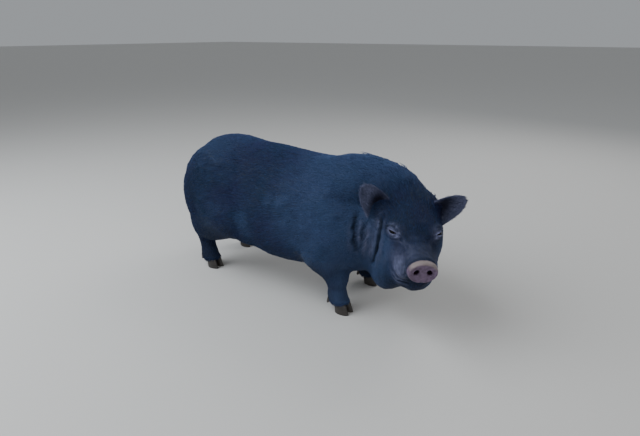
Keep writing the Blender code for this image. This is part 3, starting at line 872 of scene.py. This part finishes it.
def reach_of(place, settings):
    """The length of a tuft at each vertex."""
    reach = settings.length * (1 + 0.10 * waves(place.points, 0.09, 31))
    reach *= 1 - 0.25 * ramp(-place.normals[:, 2], 0.3, 0.9)
    reach *= 1 + 0.12 * crest(place)
    reach *= 1 - 0.45 * place.headward()
    reach *= 1 - 0.42 * place.face()
    snout = ramp(place.head[:, 0], 0.12, 0.19) * place.headward()
    reach *= 1 - 0.35 * snout
    reach *= 1 - 0.55 * place.foot()
    reach *= 1 - 0.35 * place.of("foreleg", "hindleg")
    ear, switch = place.of("ear"), place.of("tail_switch")
    tail = place.of("tail") - switch
    for on, own in ((place.coronet(), 0.0125), (ear, 0.0075), (tail, 0.016), (switch, 0.030)):
        reach = reach * (1 - on) + own * on
    lids = np.clip(slit_mask(place) * 1.6, 0, 1)
    return reach * (1 - 0.45 * lids)


def thickness_of(place):
    """How thick the coat grows at each vertex, 1 being the trunk's."""
    thick = 1 - 0.45 * ramp(-place.normals[:, 2], 0.5, 0.95) * (1 - place.headward())
    thick += 1.1 * place.headward() + 1.2 * place.face()
    thick += 0.7 * place.foot() + 1.0 * place.of("tail") + 3.0 * place.of("tail_switch")
    thick += 0.9 * place.of("ear") * (1 - 0.75 * inner_ear(place))
    hem = place.coronet()
    thick += 1.2 * hem
    thick *= 1 - hem * ramp(-place.normals[:, 2], 0.7, 0.95)
    thick *= 1 - nose_mask(place)
    thick *= 1 - slit_mask(place)
    return np.clip(thick, 0, 8)


def guards_of(place):
    """Where long single hairs stand over the coat, 1 on the mane."""
    x, y, z = place.head.T
    aside = np.abs(y)
    skull = place.of("head")
    brow = mound((x, 0.096, 0.014), (aside, 0.058, 0.016), (z, 0.044, 0.009))
    root = mound((x, 0.016, 0.020), (aside, 0.064, 0.018), (z, 0.058, 0.026))
    chin = ramp(x, 0.10, 0.15) * ramp(-z, 0.045, 0.075)
    total = 0.55 * crest(place) + (0.9 * brow + 1.1 * root) * skull + 0.16 * chin * place.headward()
    for word, side in SIDES.items():
        start, along, across, _ = ear_frame(side)
        local = place.head - start
        far, over = local @ along / EAR_LENGTH[side], np.abs(local @ across + 0.004)
        rim = ramp(over, 0.022, 0.032) * (1 - ramp(far, 0.7, 0.9))
        total += 0.8 * rim * place.of("ear_" + word)
    body = 1 - place.headward()
    total += body * (0.02 + 0.06 * ramp(-place.normals[:, 2], 0.2, 0.8)) * (1 - place.of("tail"))
    return np.clip(total, 0, 1.2) * (1 - nose_mask(place)) * (1 - slit_mask(place))


def marked(skin, coat_settings):
    """Stores on the skin all that the coat and the finishes read."""
    mesh = skin.data
    place = Place(mesh)
    reach = reach_of(place, coat_settings)
    width = coat_settings.width * np.clip(reach / coat_settings.length, 0, 1) ** 0.55
    width *= 1 - 0.25 * crest(place)
    ridge = read(mesh.attributes["ridge"].data, "value", 1)
    mesh.attributes.remove(mesh.attributes["ridge"])
    lie, outward = leaned(place, mesh, lie_of(place), reach)
    values = {
        "pale": paleness(place, ridge),
        "dust_and_sheen": dust_and_sheen_of(place, ridge),
        "nose": nose_mask(place),
        "nostril": nostril_mask(place),
        "hollow": inner_ear(place),
        "lie": lie,
        "outward": outward,
        "reach": reach,
        "girth": width,
        "thick": thickness_of(place),
        "guard": guards_of(place),
        "rim": disc_rim(place),
        "loft": 0.66 - 0.10 * place.face(),
    }
    for name, kept in values.items():
        keep_values(mesh, name, kept)


# ---------------------------------------------------------------- finishes
class Nodes:
    """A group of nodes, and short ways to add, feed and join them."""

    def __init__(self, group):
        self.group = group

    def feed(self, made, inputs):
        """Gives a node's inputs their values, each a value or another node's output."""
        for key, source in inputs:
            if isinstance(source, bpy.types.NodeSocket):
                self.group.links.new(source, made.inputs[key])
            else:
                made.inputs[key].default_value = source

    def node(self, kind, inputs=(), **settings):
        made = self.group.nodes.new(kind)
        for key, value in settings.items():
            setattr(made, key, value)
        self.feed(made, inputs)
        return made

    def maths(self, operation, first, second):
        return self.node("ShaderNodeMath", [(0, first), (1, second)], operation=operation).outputs[0]


class Finish(Nodes):
    """A material, and short ways to make what its shader reads."""

    def __init__(self, name):
        self.material = bpy.data.materials.new(name)
        self.material.use_nodes = True
        super().__init__(self.material.node_tree)

    def attribute(self, name, share=None):
        """What the skin stores under a name, or a share of it."""
        found = self.node("ShaderNodeAttribute", attribute_name=name).outputs["Fac"]
        return found if share is None else self.maths("MULTIPLY", found, share)

    def place(self):
        return self.node("ShaderNodeTexCoord").outputs["Object"]

    def noise(self, scale, detail=3.0, stretch=None):
        where = self.place()
        if stretch is not None:
            stretched = self.node("ShaderNodeMapping", [("Vector", where), ("Scale", stretch)])
            where = stretched.outputs["Vector"]
        inputs = [("Vector", where), ("Scale", scale), ("Detail", detail)]
        return self.node("ShaderNodeTexNoise", inputs).outputs["Fac"]

    def spread(self, source, low, high, to_low=0.0, to_high=1.0):
        """What lies between low and high, spread from to_low to to_high."""
        ends = [("From Min", low), ("From Max", high), ("To Min", to_low), ("To Max", to_high)]
        return self.node("ShaderNodeMapRange", [("Value", source), *ends]).outputs["Result"]

    def mix(self, share, first, second):
        """A colour between two, each a colour or another node's output."""
        first, second = (
            value if isinstance(value, bpy.types.NodeSocket) else (*value, 1) for value in (first, second)
        )
        inputs = [("Factor", share), (6, first), (7, second)]
        return self.node("ShaderNodeMix", inputs, data_type="RGBA").outputs[2]

    def bump(self, height, distance, strength, under=None):
        inputs = [("Height", height), ("Distance", distance), ("Strength", strength)]
        if under is not None:
            inputs.append(("Normal", under))
        return self.node("ShaderNodeBump", inputs).outputs["Normal"]

    def done(self, colour, roughness, *others):
        """The material, once its shader is fed."""
        shader = self.group.nodes["Principled BSDF"]
        self.feed(shader, [("Base Color", colour), ("Roughness", roughness), *others])
        return self.material


def shaded(colour, *shares):
    """A colour with each of its parts taken by its share, or all of them by the one share."""
    return tuple(value * shares[k % len(shares)] for k, value in enumerate(colour))


def hide_finish(colours):
    """Black hide with a painted cold sheen, paler on the muzzle, the lids and the crests of folds, painted
    shade in the creases and the ears' hollows, and bare mauve skin on the nose.
    """
    made = Finish("hide")
    pale, nose = made.attribute("pale"), made.attribute("nose")
    body = made.mix(made.spread(made.noise(38), 0.35, 0.7), shaded(colours.hide, 0.55), colours.hide)
    # Partly dusty hair, partly painted sheen where the light falls.
    body = made.mix(made.attribute("dust_and_sheen", 0.4), body, colours.dust_and_sheen)
    body = made.mix(pale, body, colours.pale)
    body = made.mix(made.spread(pale, 1.0, 2.0), body, shaded(colours.pale, 2.0))
    # Painted shade in the folds' creases.
    body = made.mix(made.attribute("crease", 0.75), body, (0.004, 0.007, 0.016))
    # Painted shade in the ears' hollows and on the head beside their roots.
    body = made.mix(made.attribute("hollow"), body, (0.005, 0.003, 0.010))
    mottle = made.spread(made.noise(120, 5.0), 0.38, 0.62)
    bare = made.mix(mottle, shaded(colours.nose, 0.62), colours.nose)
    # The disc's upper rim in a lighter beige.
    bare = made.mix(made.attribute("rim", 0.62), bare, (0.29, 0.25, 0.21))
    # The nostrils' dark red: their red lining, darkened by painted shade in the holes.
    bare = made.mix(made.attribute("nostril"), bare, (0.018, 0.005, 0.014))
    pores = made.node("ShaderNodeTexVoronoi", [("Vector", made.place()), ("Scale", 900)])
    streaks = made.bump(made.noise(520, 2.0, (0.16, 1.0, 1.0)), 0.0012, 0.5)
    grain = made.bump(made.noise(420, 4.0), 0.0010, 0.5, streaks)
    normal = made.bump(pores.outputs["Distance"], 0.0006, 0.35, grain)
    roughness = made.spread(nose, 0.0, 1.0, 0.62, 0.34)
    others = [("Normal", normal), ("Specular IOR Level", 0.16)]
    return made.done(made.mix(nose, body, bare), roughness, *others)


def bristle_finish(name, colours):
    """Coarse black hair, its blue tint a painted cold sheen, each tuft its own shade."""
    made = Finish(name)
    cool, warm = shaded(colours.bristle, 0.75, 1.15, 0.95), shaded(colours.bristle, 1.50, 0.88, 1.00)
    body = made.mix(made.spread(made.noise(9, 2.0), 0.38, 0.62), cool, warm)
    body = made.mix(made.spread(made.attribute("shade"), 0.35, 1.0), body, colours.bristle_light)
    # Partly dusty hair, partly painted sheen where the light falls.
    body = made.mix(made.attribute("dust_and_sheen", 0.6), body, colours.dust_and_sheen)
    pale = made.attribute("pale")
    body = made.mix(made.spread(pale, 0.0, 1.0, 0.0, 0.8), body, shaded(colours.pale, 0.85))
    body = made.mix(made.spread(pale, 1.0, 2.0), body, shaded(colours.pale, 1.8))
    # Painted shade in the folds' creases.
    body = made.mix(made.attribute("crease", 0.75), body, (0.003, 0.006, 0.015))
    # Painted shade in the ears' hollows and on the head beside their roots.
    body = made.mix(made.attribute("hollow"), body, (0.004, 0.003, 0.008))
    return made.done(body, 0.60, ("Specular IOR Level", 0.14))


def horn_finish(name, colours):
    """Dark horn with rings of growth."""
    made = Finish(name)
    rings = made.noise(60, 3.0, (0.6, 0.6, 9.0))
    colour = made.mix(made.spread(rings, 0.35, 0.65), shaded(colours.horn, 0.5), colours.horn)
    return made.done(colour, 0.48, ("Normal", made.bump(rings, 0.0012, 0.5)))


def eye_finish(name, side):
    """A wet black eye, its pupil a little darker than the rest."""
    made = Finish(name)
    centre, out, _, _ = eye_axes(side)
    front = tuple(centre + EYE_RADIUS * out)
    gap = made.node("ShaderNodeVectorMath", [(0, made.place()), (1, front)], operation="DISTANCE")
    far = gap.outputs["Value"]
    iris = made.mix(made.spread(far, 0.0030, 0.0038), (0.001, 0.001, 0.002), (0.003, 0.002, 0.004))
    colour = made.mix(made.spread(far, 0.0078, 0.0095), iris, (0.005, 0.004, 0.007))
    others = [("Coat Weight", 0.06), ("Coat Roughness", 0.03), ("Specular IOR Level", 0.12)]
    return made.done(colour, 0.12, *others)


# ---------------------------------------------------------------- coat
def tuft_shape():
    """One tuft, a unit long: a thin three-sided spike that rises and then lies along +X."""
    shell = bmesh.new()
    rings = [
        [(0.00, -0.5, -0.07), (0.00, 0.5, -0.07), (0.03, 0.0, -0.02)],
        [(0.46, -0.45, 0.085), (0.46, 0.45, 0.085), (0.46, 0.0, 0.125)],
    ]
    low, high = ([shell.verts.new(spot) for spot in ring] for ring in rings)
    tip = shell.verts.new((1.0, 0.0, 0.075))
    shell.faces.new(low)
    for k in range(3):
        after = (k + 1) % 3
        shell.faces.new((low[k], low[after], high[after]))
        shell.faces.new((low[k], high[after], high[k]))
        shell.faces.new((high[k], high[after], tip))
    bmesh.ops.recalc_face_normals(shell, faces=shell.faces)
    tuft = object_of("tuft", shell)
    tuft.data.shade_smooth()
    tuft.hide_render = True
    return tuft


class Tree(Nodes):
    """A Geometry Nodes tree whose inputs are given by name."""

    def __init__(self, name, sockets):
        super().__init__(bpy.data.node_groups.new(name, "GeometryNodeTree"))
        self.inputs = {}
        for title, kind in sockets:
            made = self.group.interface.new_socket(name=title, in_out="INPUT", socket_type=kind)
            self.inputs[title] = made.identifier
        self.given = self.node("NodeGroupInput").outputs

    def stored(self, name, kind="FLOAT"):
        """What the skin stores under a name."""
        made = self.node("GeometryNodeInputNamedAttribute", [("Name", name)], data_type=kind)
        return made.outputs["Attribute"]

    def varied(self, low, high, seed):
        """A chance value from low to high for each tuft."""
        inputs = [(2, low), (3, high), ("Seed", seed)]
        return self.node("FunctionNodeRandomValue", inputs, data_type="FLOAT").outputs[1]


GUARD = (1.7, 0.50, 2.0)  # a long hair's length, width and rise, as shares of a tuft's


def scattered(tree, density, rise, seed, shares):
    """One layer of tufts over the skin, each turned to lie the way the hair runs."""
    long, wide, high = shares
    seeds = tree.maths("ADD", tree.given["Seed"], float(seed))
    scatter = tree.node(
        "GeometryNodeDistributePointsOnFaces",
        [("Mesh", tree.given["Skin"]), ("Density", density), ("Seed", seeds)],
    )
    chance = tree.node(
        "FunctionNodeRandomValue",
        [(0, (-1, -1, -1)), (1, (1, 1, 1)), ("Seed", seeds)],
        data_type="FLOAT_VECTOR",
    )
    stray = tree.node(
        "ShaderNodeVectorMath", [(0, chance.outputs[0]), ("Scale", tree.given["Stray"])], operation="SCALE"
    )
    lie = tree.node(
        "ShaderNodeVectorMath",
        [(0, tree.stored("lie", "FLOAT_VECTOR")), (1, stray.outputs[0])],
        operation="ADD",
    )
    turn = tree.node(
        "FunctionNodeAxesToRotation",
        [("Primary Axis", tree.stored("outward", "FLOAT_VECTOR")), ("Secondary Axis", lie.outputs[0])],
        primary_axis="Z",
        secondary_axis="X",
    )
    reach = tree.maths("MULTIPLY", tree.stored("reach"), tree.varied(0.65 * long, 1.25 * long, 5 + seed))
    girth = tree.maths("MULTIPLY", tree.stored("girth"), wide)
    loft = tree.maths("MULTIPLY", rise, tree.varied(0.55 * high, 1.35 * high, 9 + seed))
    size = tree.node(
        "ShaderNodeCombineXYZ", [("X", reach), ("Y", girth), ("Z", tree.maths("MULTIPLY", reach, loft))]
    )
    tuft = tree.node("GeometryNodeObjectInfo", [("Object", tree.given["Tuft"])])
    placed = tree.node(
        "GeometryNodeInstanceOnPoints",
        [
            ("Points", scatter.outputs["Points"]),
            ("Instance", tuft.outputs["Geometry"]),
            ("Rotation", turn.outputs[0]),
            ("Scale", size.outputs[0]),
        ],
    )
    return tree.node(
        "GeometryNodeStoreNamedAttribute",
        [("Geometry", placed.outputs[0]), ("Name", "shade"), ("Value", tree.varied(0.0, 1.0, 3 + seed))],
        data_type="FLOAT",
        domain="INSTANCE",
    ).outputs[0]


def coat_tree():
    """Scatters the coat's two layers over a skin: dense tufts, and long hairs among them."""
    sockets = {
        "Skin": "NodeSocketGeometry",
        "Tuft": "NodeSocketObject",
        "Tufts per square metre": "NodeSocketFloat",
        "Guard hairs": "NodeSocketFloat",
        "Stray": "NodeSocketFloat",
        "Seed": "NodeSocketInt",
        "Finish": "NodeSocketMaterial",
    }
    tree = Tree("coat", sockets.items())
    tree.group.interface.new_socket(name="Coat", in_out="OUTPUT", socket_type="NodeSocketGeometry")
    full = tree.maths("MULTIPLY", tree.given["Tufts per square metre"], tree.stored("thick"))
    sparse = tree.maths("MULTIPLY", tree.given["Guard hairs"], tree.stored("guard"))
    low = tree.stored("loft")
    high = tree.maths("MULTIPLY", low, tree.maths("ADD", 0.25, tree.stored("guard")))
    layers = ((full, low, 0, (1.0, 1.0, 1.0)), (sparse, high, 40, GUARD))
    both = tree.node("GeometryNodeJoinGeometry", [(0, scattered(tree, *values)) for values in layers])
    real = tree.node("GeometryNodeRealizeInstances", [("Geometry", both.outputs[0])])
    painted = tree.node(
        "GeometryNodeSetMaterial", [("Geometry", real.outputs[0]), ("Material", tree.given["Finish"])]
    )
    tree.node("NodeGroupOutput", [("Coat", painted.outputs[0])])
    return tree


def patch_of(skin, name, faces):
    """A copy of some faces of the skin, with all that is stored on it."""
    patch = bpy.data.objects.new(name, skin.data.copy())
    bpy.context.scene.collection.objects.link(patch)
    shell = bmesh.new()
    shell.from_mesh(patch.data)
    gone = [face for face, kept in zip(shell.faces, faces.tolist()) if not kept]
    bmesh.ops.delete(shell, geom=gone, context="FACES")
    shell.to_mesh(patch.data)
    shell.free()
    return patch


MAP_EDGE, MAP_SPAN = 0.004, 0.988  # the map's margin, and the share the skin takes
TUFT_PATCH = 0.003  # a tuft's width on the map


def rolled_out(roots, axis):
    """A place from 0 to 1 for each root on the skin rolled out round an axis."""
    centre, ahead, up = (np.array(value, float) for value in axis)
    side = np.cross(up, ahead)
    arm = roots - centre
    turn = np.arctan2(arm @ side, arm @ up) / (2 * pi) + 0.5
    run = arm @ ahead
    run = (run - run.min()) / max(np.ptp(run), 1e-6)
    return MAP_EDGE + MAP_SPAN * np.stack([turn, run], 1)


def bake_map(mesh, tuft, axis):
    """Gives each tuft a small patch of its own, at its root's place on the rolled-out skin."""
    roots = points_of(mesh).reshape(-1, len(tuft.vertices), 3)[:, 0]
    spots = points_of(tuft)[read(tuft.loops, "vertex_index", 1).astype(int)]
    own = np.stack([spots[:, 0], 0.5 + 0.5 * spots[:, 1]], 1) * TUFT_PATCH
    places = rolled_out(roots, axis)[:, None, :] + own[None, :, :]
    layer = mesh.uv_layers.new(name="OFBake")
    layer.data.foreach_set("uv", places.reshape(-1).astype(np.float32))


COAT_EXTRAS = ("lie", "outward", "reach", "girth", "thick", "loft", "guard", "nose", "nostril", "rim")


def coat_piece(skin, name, faces, axis, tree, tuft, finish, settings):
    """One region's coat as a plain mesh that replaces nothing and rides on the body."""
    patch = patch_of(skin, name, faces)
    grow = patch.modifiers.new("coat", "NODES")
    grow.node_group = tree.group
    given = {
        "Tuft": tuft,
        "Tufts per square metre": settings.density,
        "Guard hairs": settings.guard,
        "Stray": settings.stray,
        "Seed": settings.seed,
        "Finish": finish,
    }
    for title, value in given.items():
        grow[tree.inputs[title]] = value
    settle(patch)
    bake_map(patch.data, tuft.data, axis)
    for extra in COAT_EXTRAS:
        if extra in patch.data.attributes:
            patch.data.attributes.remove(patch.data.attributes[extra])
    return patch


def regions(skin):
    """Each coat piece's name, its faces, and the axis its skin is rolled out round."""
    mesh = skin.data
    corners = corners_of(mesh)
    place = Place(mesh)
    spots = place.points[corners].mean(1)
    head = place.head[corners].mean(1)
    node = place.node[corners[:, 0]]

    def on(*words):
        return np.isin(node, [i for i, name in enumerate(FLESH) if name.startswith(words)])

    ears, tail = on("ear"), on("tail")
    legs = on("foreleg", "hindleg") & (spots[:, 2] < 0.17)
    front = on("head", "snout", "lower_jaw", "nose") & ~ears
    rest = ~(ears | legs | tail | front)
    forward, upward, down = (1, 0, 0), (0, 0, 1), (0, 0, -1)
    skull = (HEAD @ Vector((0.05, 0, -0.03)), head_way(forward), head_way(upward))
    made = {}

    def banded(region, along, bands):
        """Parts a region into bands, each ending behind at its own place along an axis."""
        ahead = inf
        for word, behind, axis in bands:
            made["coat_" + word] = (region & (along <= ahead) & (along > behind), axis)
            ahead = behind

    banded(front, head[:, 0], (("snout", 0.125, skull), ("face", 0.075, skull), ("cheeks", -inf, skull)))
    trunk = {
        "neck": (0.185, (0.2, 0, 0.27)),
        "shoulders": (0.03, (0.1, 0, 0.25)),
        "barrel": (-0.16, (0, 0, 0.25)),
        "loin": (-0.29, (-0.2, 0, 0.27)),
        "rump": (-inf, (-0.3, 0, 0.28)),
    }
    bands = [(word, behind, (middle, forward, upward)) for word, (behind, middle) in trunk.items()]
    banded(rest, spots[:, 0], bands)
    made["coat_tail"] = (tail, (MIDDLES["tail"], down, forward))
    for word, side in SIDES.items():
        hub = MIDDLES["ear_" + word]
        _, along, across, _ = ear_frame(side)
        made["coat_ear_" + word] = (on("ear_" + word), (hub, head_way(along), head_way(across)))
        for leg in ("foreleg_", "hindleg_"):
            made["coat_" + leg + word] = (legs & on(leg + word), (MIDDLES[leg + word], down, forward))
    return made


# ---------------------------------------------------------------- eyes and claws
def eye_ball(name):
    low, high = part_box(name)
    shell = bmesh.new()
    bmesh.ops.create_icosphere(
        shell, subdivisions=5, radius=(high - low).z / 2, matrix=Matrix.Translation(MIDDLES[name])
    )
    ball = object_of("ball_" + name, shell)
    ball.data.shade_smooth()
    return ball


def claw_horn(name):
    """A claw with its edges worn round, inside the solid that it stands for."""
    shell = bmesh.new()
    shell.from_mesh(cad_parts[name].data)
    bmesh.ops.remove_doubles(shell, verts=shell.verts, dist=0.00001)
    bmesh.ops.dissolve_limit(shell, angle_limit=radians(3), verts=shell.verts, edges=shell.edges)
    sharp = [edge for edge in shell.edges if edge.calc_face_angle(0) > radians(35)]
    bmesh.ops.bevel(
        shell, geom=sharp, offset=0.0011, segments=3, profile=0.5, affect="EDGES", clamp_overlap=True
    )
    bmesh.ops.triangulate(shell, faces=shell.faces)
    horn = object_of("horn_" + name, shell)
    horn.data.shade_smooth()
    horn.data.set_sharp_from_angle(angle=radians(45))
    return horn


# ---------------------------------------------------------------- stage
LIGHTS = {  # each light's place, its aim, its size, its power in watts and its colour
    "window": ((-1.3, -1.5, 2.1), (0, 0, 0.2), 2.4, 84, (0.90, 0.95, 1.0)),
    "fill": ((2.2, -1.6, 1.2), (0.1, 0, 0.2), 1.8, 15, (1.0, 0.97, 0.93)),
    "back": ((0.4, 2.2, 2.0), (0, 0, 0.3), 1.8, 20, (1.0, 1.0, 1.0)),
}


def soft_light(name, place, aim, size, power, colour):
    light = bpy.data.lights.new(name, "AREA")
    light.shape = "SQUARE"
    light.size = size
    light.energy = power
    light.color = colour
    obj = bpy.data.objects.new(name, light)
    obj.location = place
    obj.rotation_euler = (Vector(aim) - Vector(place)).to_track_quat("-Z", "Y").to_euler()
    bpy.context.scene.collection.objects.link(obj)


def pale_floor():
    shell = bmesh.new()
    bmesh.ops.create_grid(shell, x_segments=1, y_segments=1, size=30)
    floor = object_of("floor", shell)
    made = Finish("floor")
    floor.data.materials.append(made.done((0.62, 0.61, 0.59, 1), 0.9))


def camera_for(settings):
    lens = bpy.data.cameras.new("camera")
    lens.sensor_width = 36
    lens.lens = settings.lens
    camera = bpy.data.objects.new("camera", lens)
    turn, rise = settings.azimuth, settings.height
    back = Vector((sin(turn) * cos(rise), -cos(turn) * cos(rise), sin(rise)))
    camera.location = Vector(settings.aim) + settings.distance * back
    camera.rotation_euler = (-back).to_track_quat("-Z", "Y").to_euler()
    bpy.context.scene.collection.objects.link(camera)
    bpy.context.scene.camera = camera


# ---------------------------------------------------------------- operators
class PIG_OT_skin(bpy.types.Operator):
    """Grow the skin over the flesh"""

    bl_idname = "pig.skin"
    bl_label = "Skin"

    def execute(self, context):
        settings = context.scene.pig_skin
        skin = grown(settings)
        smoothed(skin)
        place = Place(skin.data)
        move_points(skin.data, place.points - coat_depth(place)[:, None] * place.normals)
        rubbed(skin)
        thinned(skin, settings)
        evened(skin)
        refined(skin)
        sculpted(skin, settings)
        marked(skin, context.scene.pig_coat)
        skin.data.shade_smooth()
        skin.data.materials.clear()
        skin.data.materials.append(hide_finish(context.scene.pig_finish))
        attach(skin, "root")
        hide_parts(*FLESH)
        return {"FINISHED"}


class PIG_OT_coat(bpy.types.Operator):
    """Scatter the bristles over the skin"""

    bl_idname = "pig.coat"
    bl_label = "Coat"

    def execute(self, context):
        settings = context.scene.pig_coat
        skin = bpy.data.objects["skin"]
        tree, tuft = coat_tree(), tuft_shape()
        finish = bristle_finish("bristle", context.scene.pig_finish)
        for name, (faces, axis) in regions(skin).items():
            piece = coat_piece(skin, name, faces, axis, tree, tuft, finish, settings)
            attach(piece, "root")
        bpy.data.objects.remove(tuft)
        return {"FINISHED"}


class PIG_OT_eyes(bpy.types.Operator):
    """Set the eyes behind their lids"""

    bl_idname = "pig.eyes"
    bl_label = "Eyes"

    def execute(self, context):
        for name, side in zip(EYES, SIDES.values()):
            ball = eye_ball(name)
            ball.data.materials.append(eye_finish(name, side))
            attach(ball, "root")
            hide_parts(name)
        return {"FINISHED"}


class PIG_OT_claws(bpy.types.Operator):
    """Finish the claws and dewclaws"""

    bl_idname = "pig.claws"
    bl_label = "Claws"

    def execute(self, context):
        finish = horn_finish("horn", context.scene.pig_finish)
        for name in CLAWS:
            horn = claw_horn(name)
            horn.data.materials.clear()
            horn.data.materials.append(finish)
            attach(horn, "root")
            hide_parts(name)
        return {"FINISHED"}


class PIG_OT_stage(bpy.types.Operator):
    """Lay the floor, hang the lights and place the camera"""

    bl_idname = "pig.stage"
    bl_label = "Stage"

    def execute(self, context):
        pale_floor()
        for name, light in LIGHTS.items():
            soft_light(name, *light)
        world = bpy.data.worlds.new("air")
        world.use_nodes = True
        air = world.node_tree.nodes["Background"]
        air.inputs["Color"].default_value = (0.80, 0.84, 0.88, 1)
        air.inputs["Strength"].default_value = 0.42
        context.scene.world = world
        camera_for(context.scene.pig_stage)
        return {"FINISHED"}


class PIG_PT_sidebar(bpy.types.Panel):
    """Lists the steps and their settings"""

    bl_idname = "PIG_PT_sidebar"
    bl_label = "Pig"
    bl_space_type = "VIEW_3D"
    bl_region_type = "UI"
    bl_category = "Pig"

    def draw(self, context):
        for step in STEPS:
            self.layout.operator(step.bl_idname)
        for settings in SETTINGS:
            group = getattr(context.scene, settings)
            for name in group.__annotations__:
                self.layout.prop(group, name)


STEPS = (PIG_OT_skin, PIG_OT_coat, PIG_OT_eyes, PIG_OT_claws, PIG_OT_stage)
SETTINGS = {
    "pig_skin": PigSkinSettings,
    "pig_coat": PigCoatSettings,
    "pig_finish": PigFinishSettings,
    "pig_stage": PigStageSettings,
}


def register():
    for kind in (*SETTINGS.values(), *STEPS, PIG_PT_sidebar):
        bpy.utils.register_class(kind)
    for name, kind in SETTINGS.items():
        setattr(bpy.types.Scene, name, PointerProperty(type=kind))


def unregister():
    for name in SETTINGS:
        delattr(bpy.types.Scene, name)
    for kind in reversed((*SETTINGS.values(), *STEPS, PIG_PT_sidebar)):
        bpy.utils.unregister_class(kind)


def main():
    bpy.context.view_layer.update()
    register()
    bpy.ops.pig.skin()
    bpy.ops.pig.coat()
    bpy.ops.pig.eyes()
    bpy.ops.pig.claws()
    bpy.ops.pig.stage()


if __name__ == "__main__":
    main()
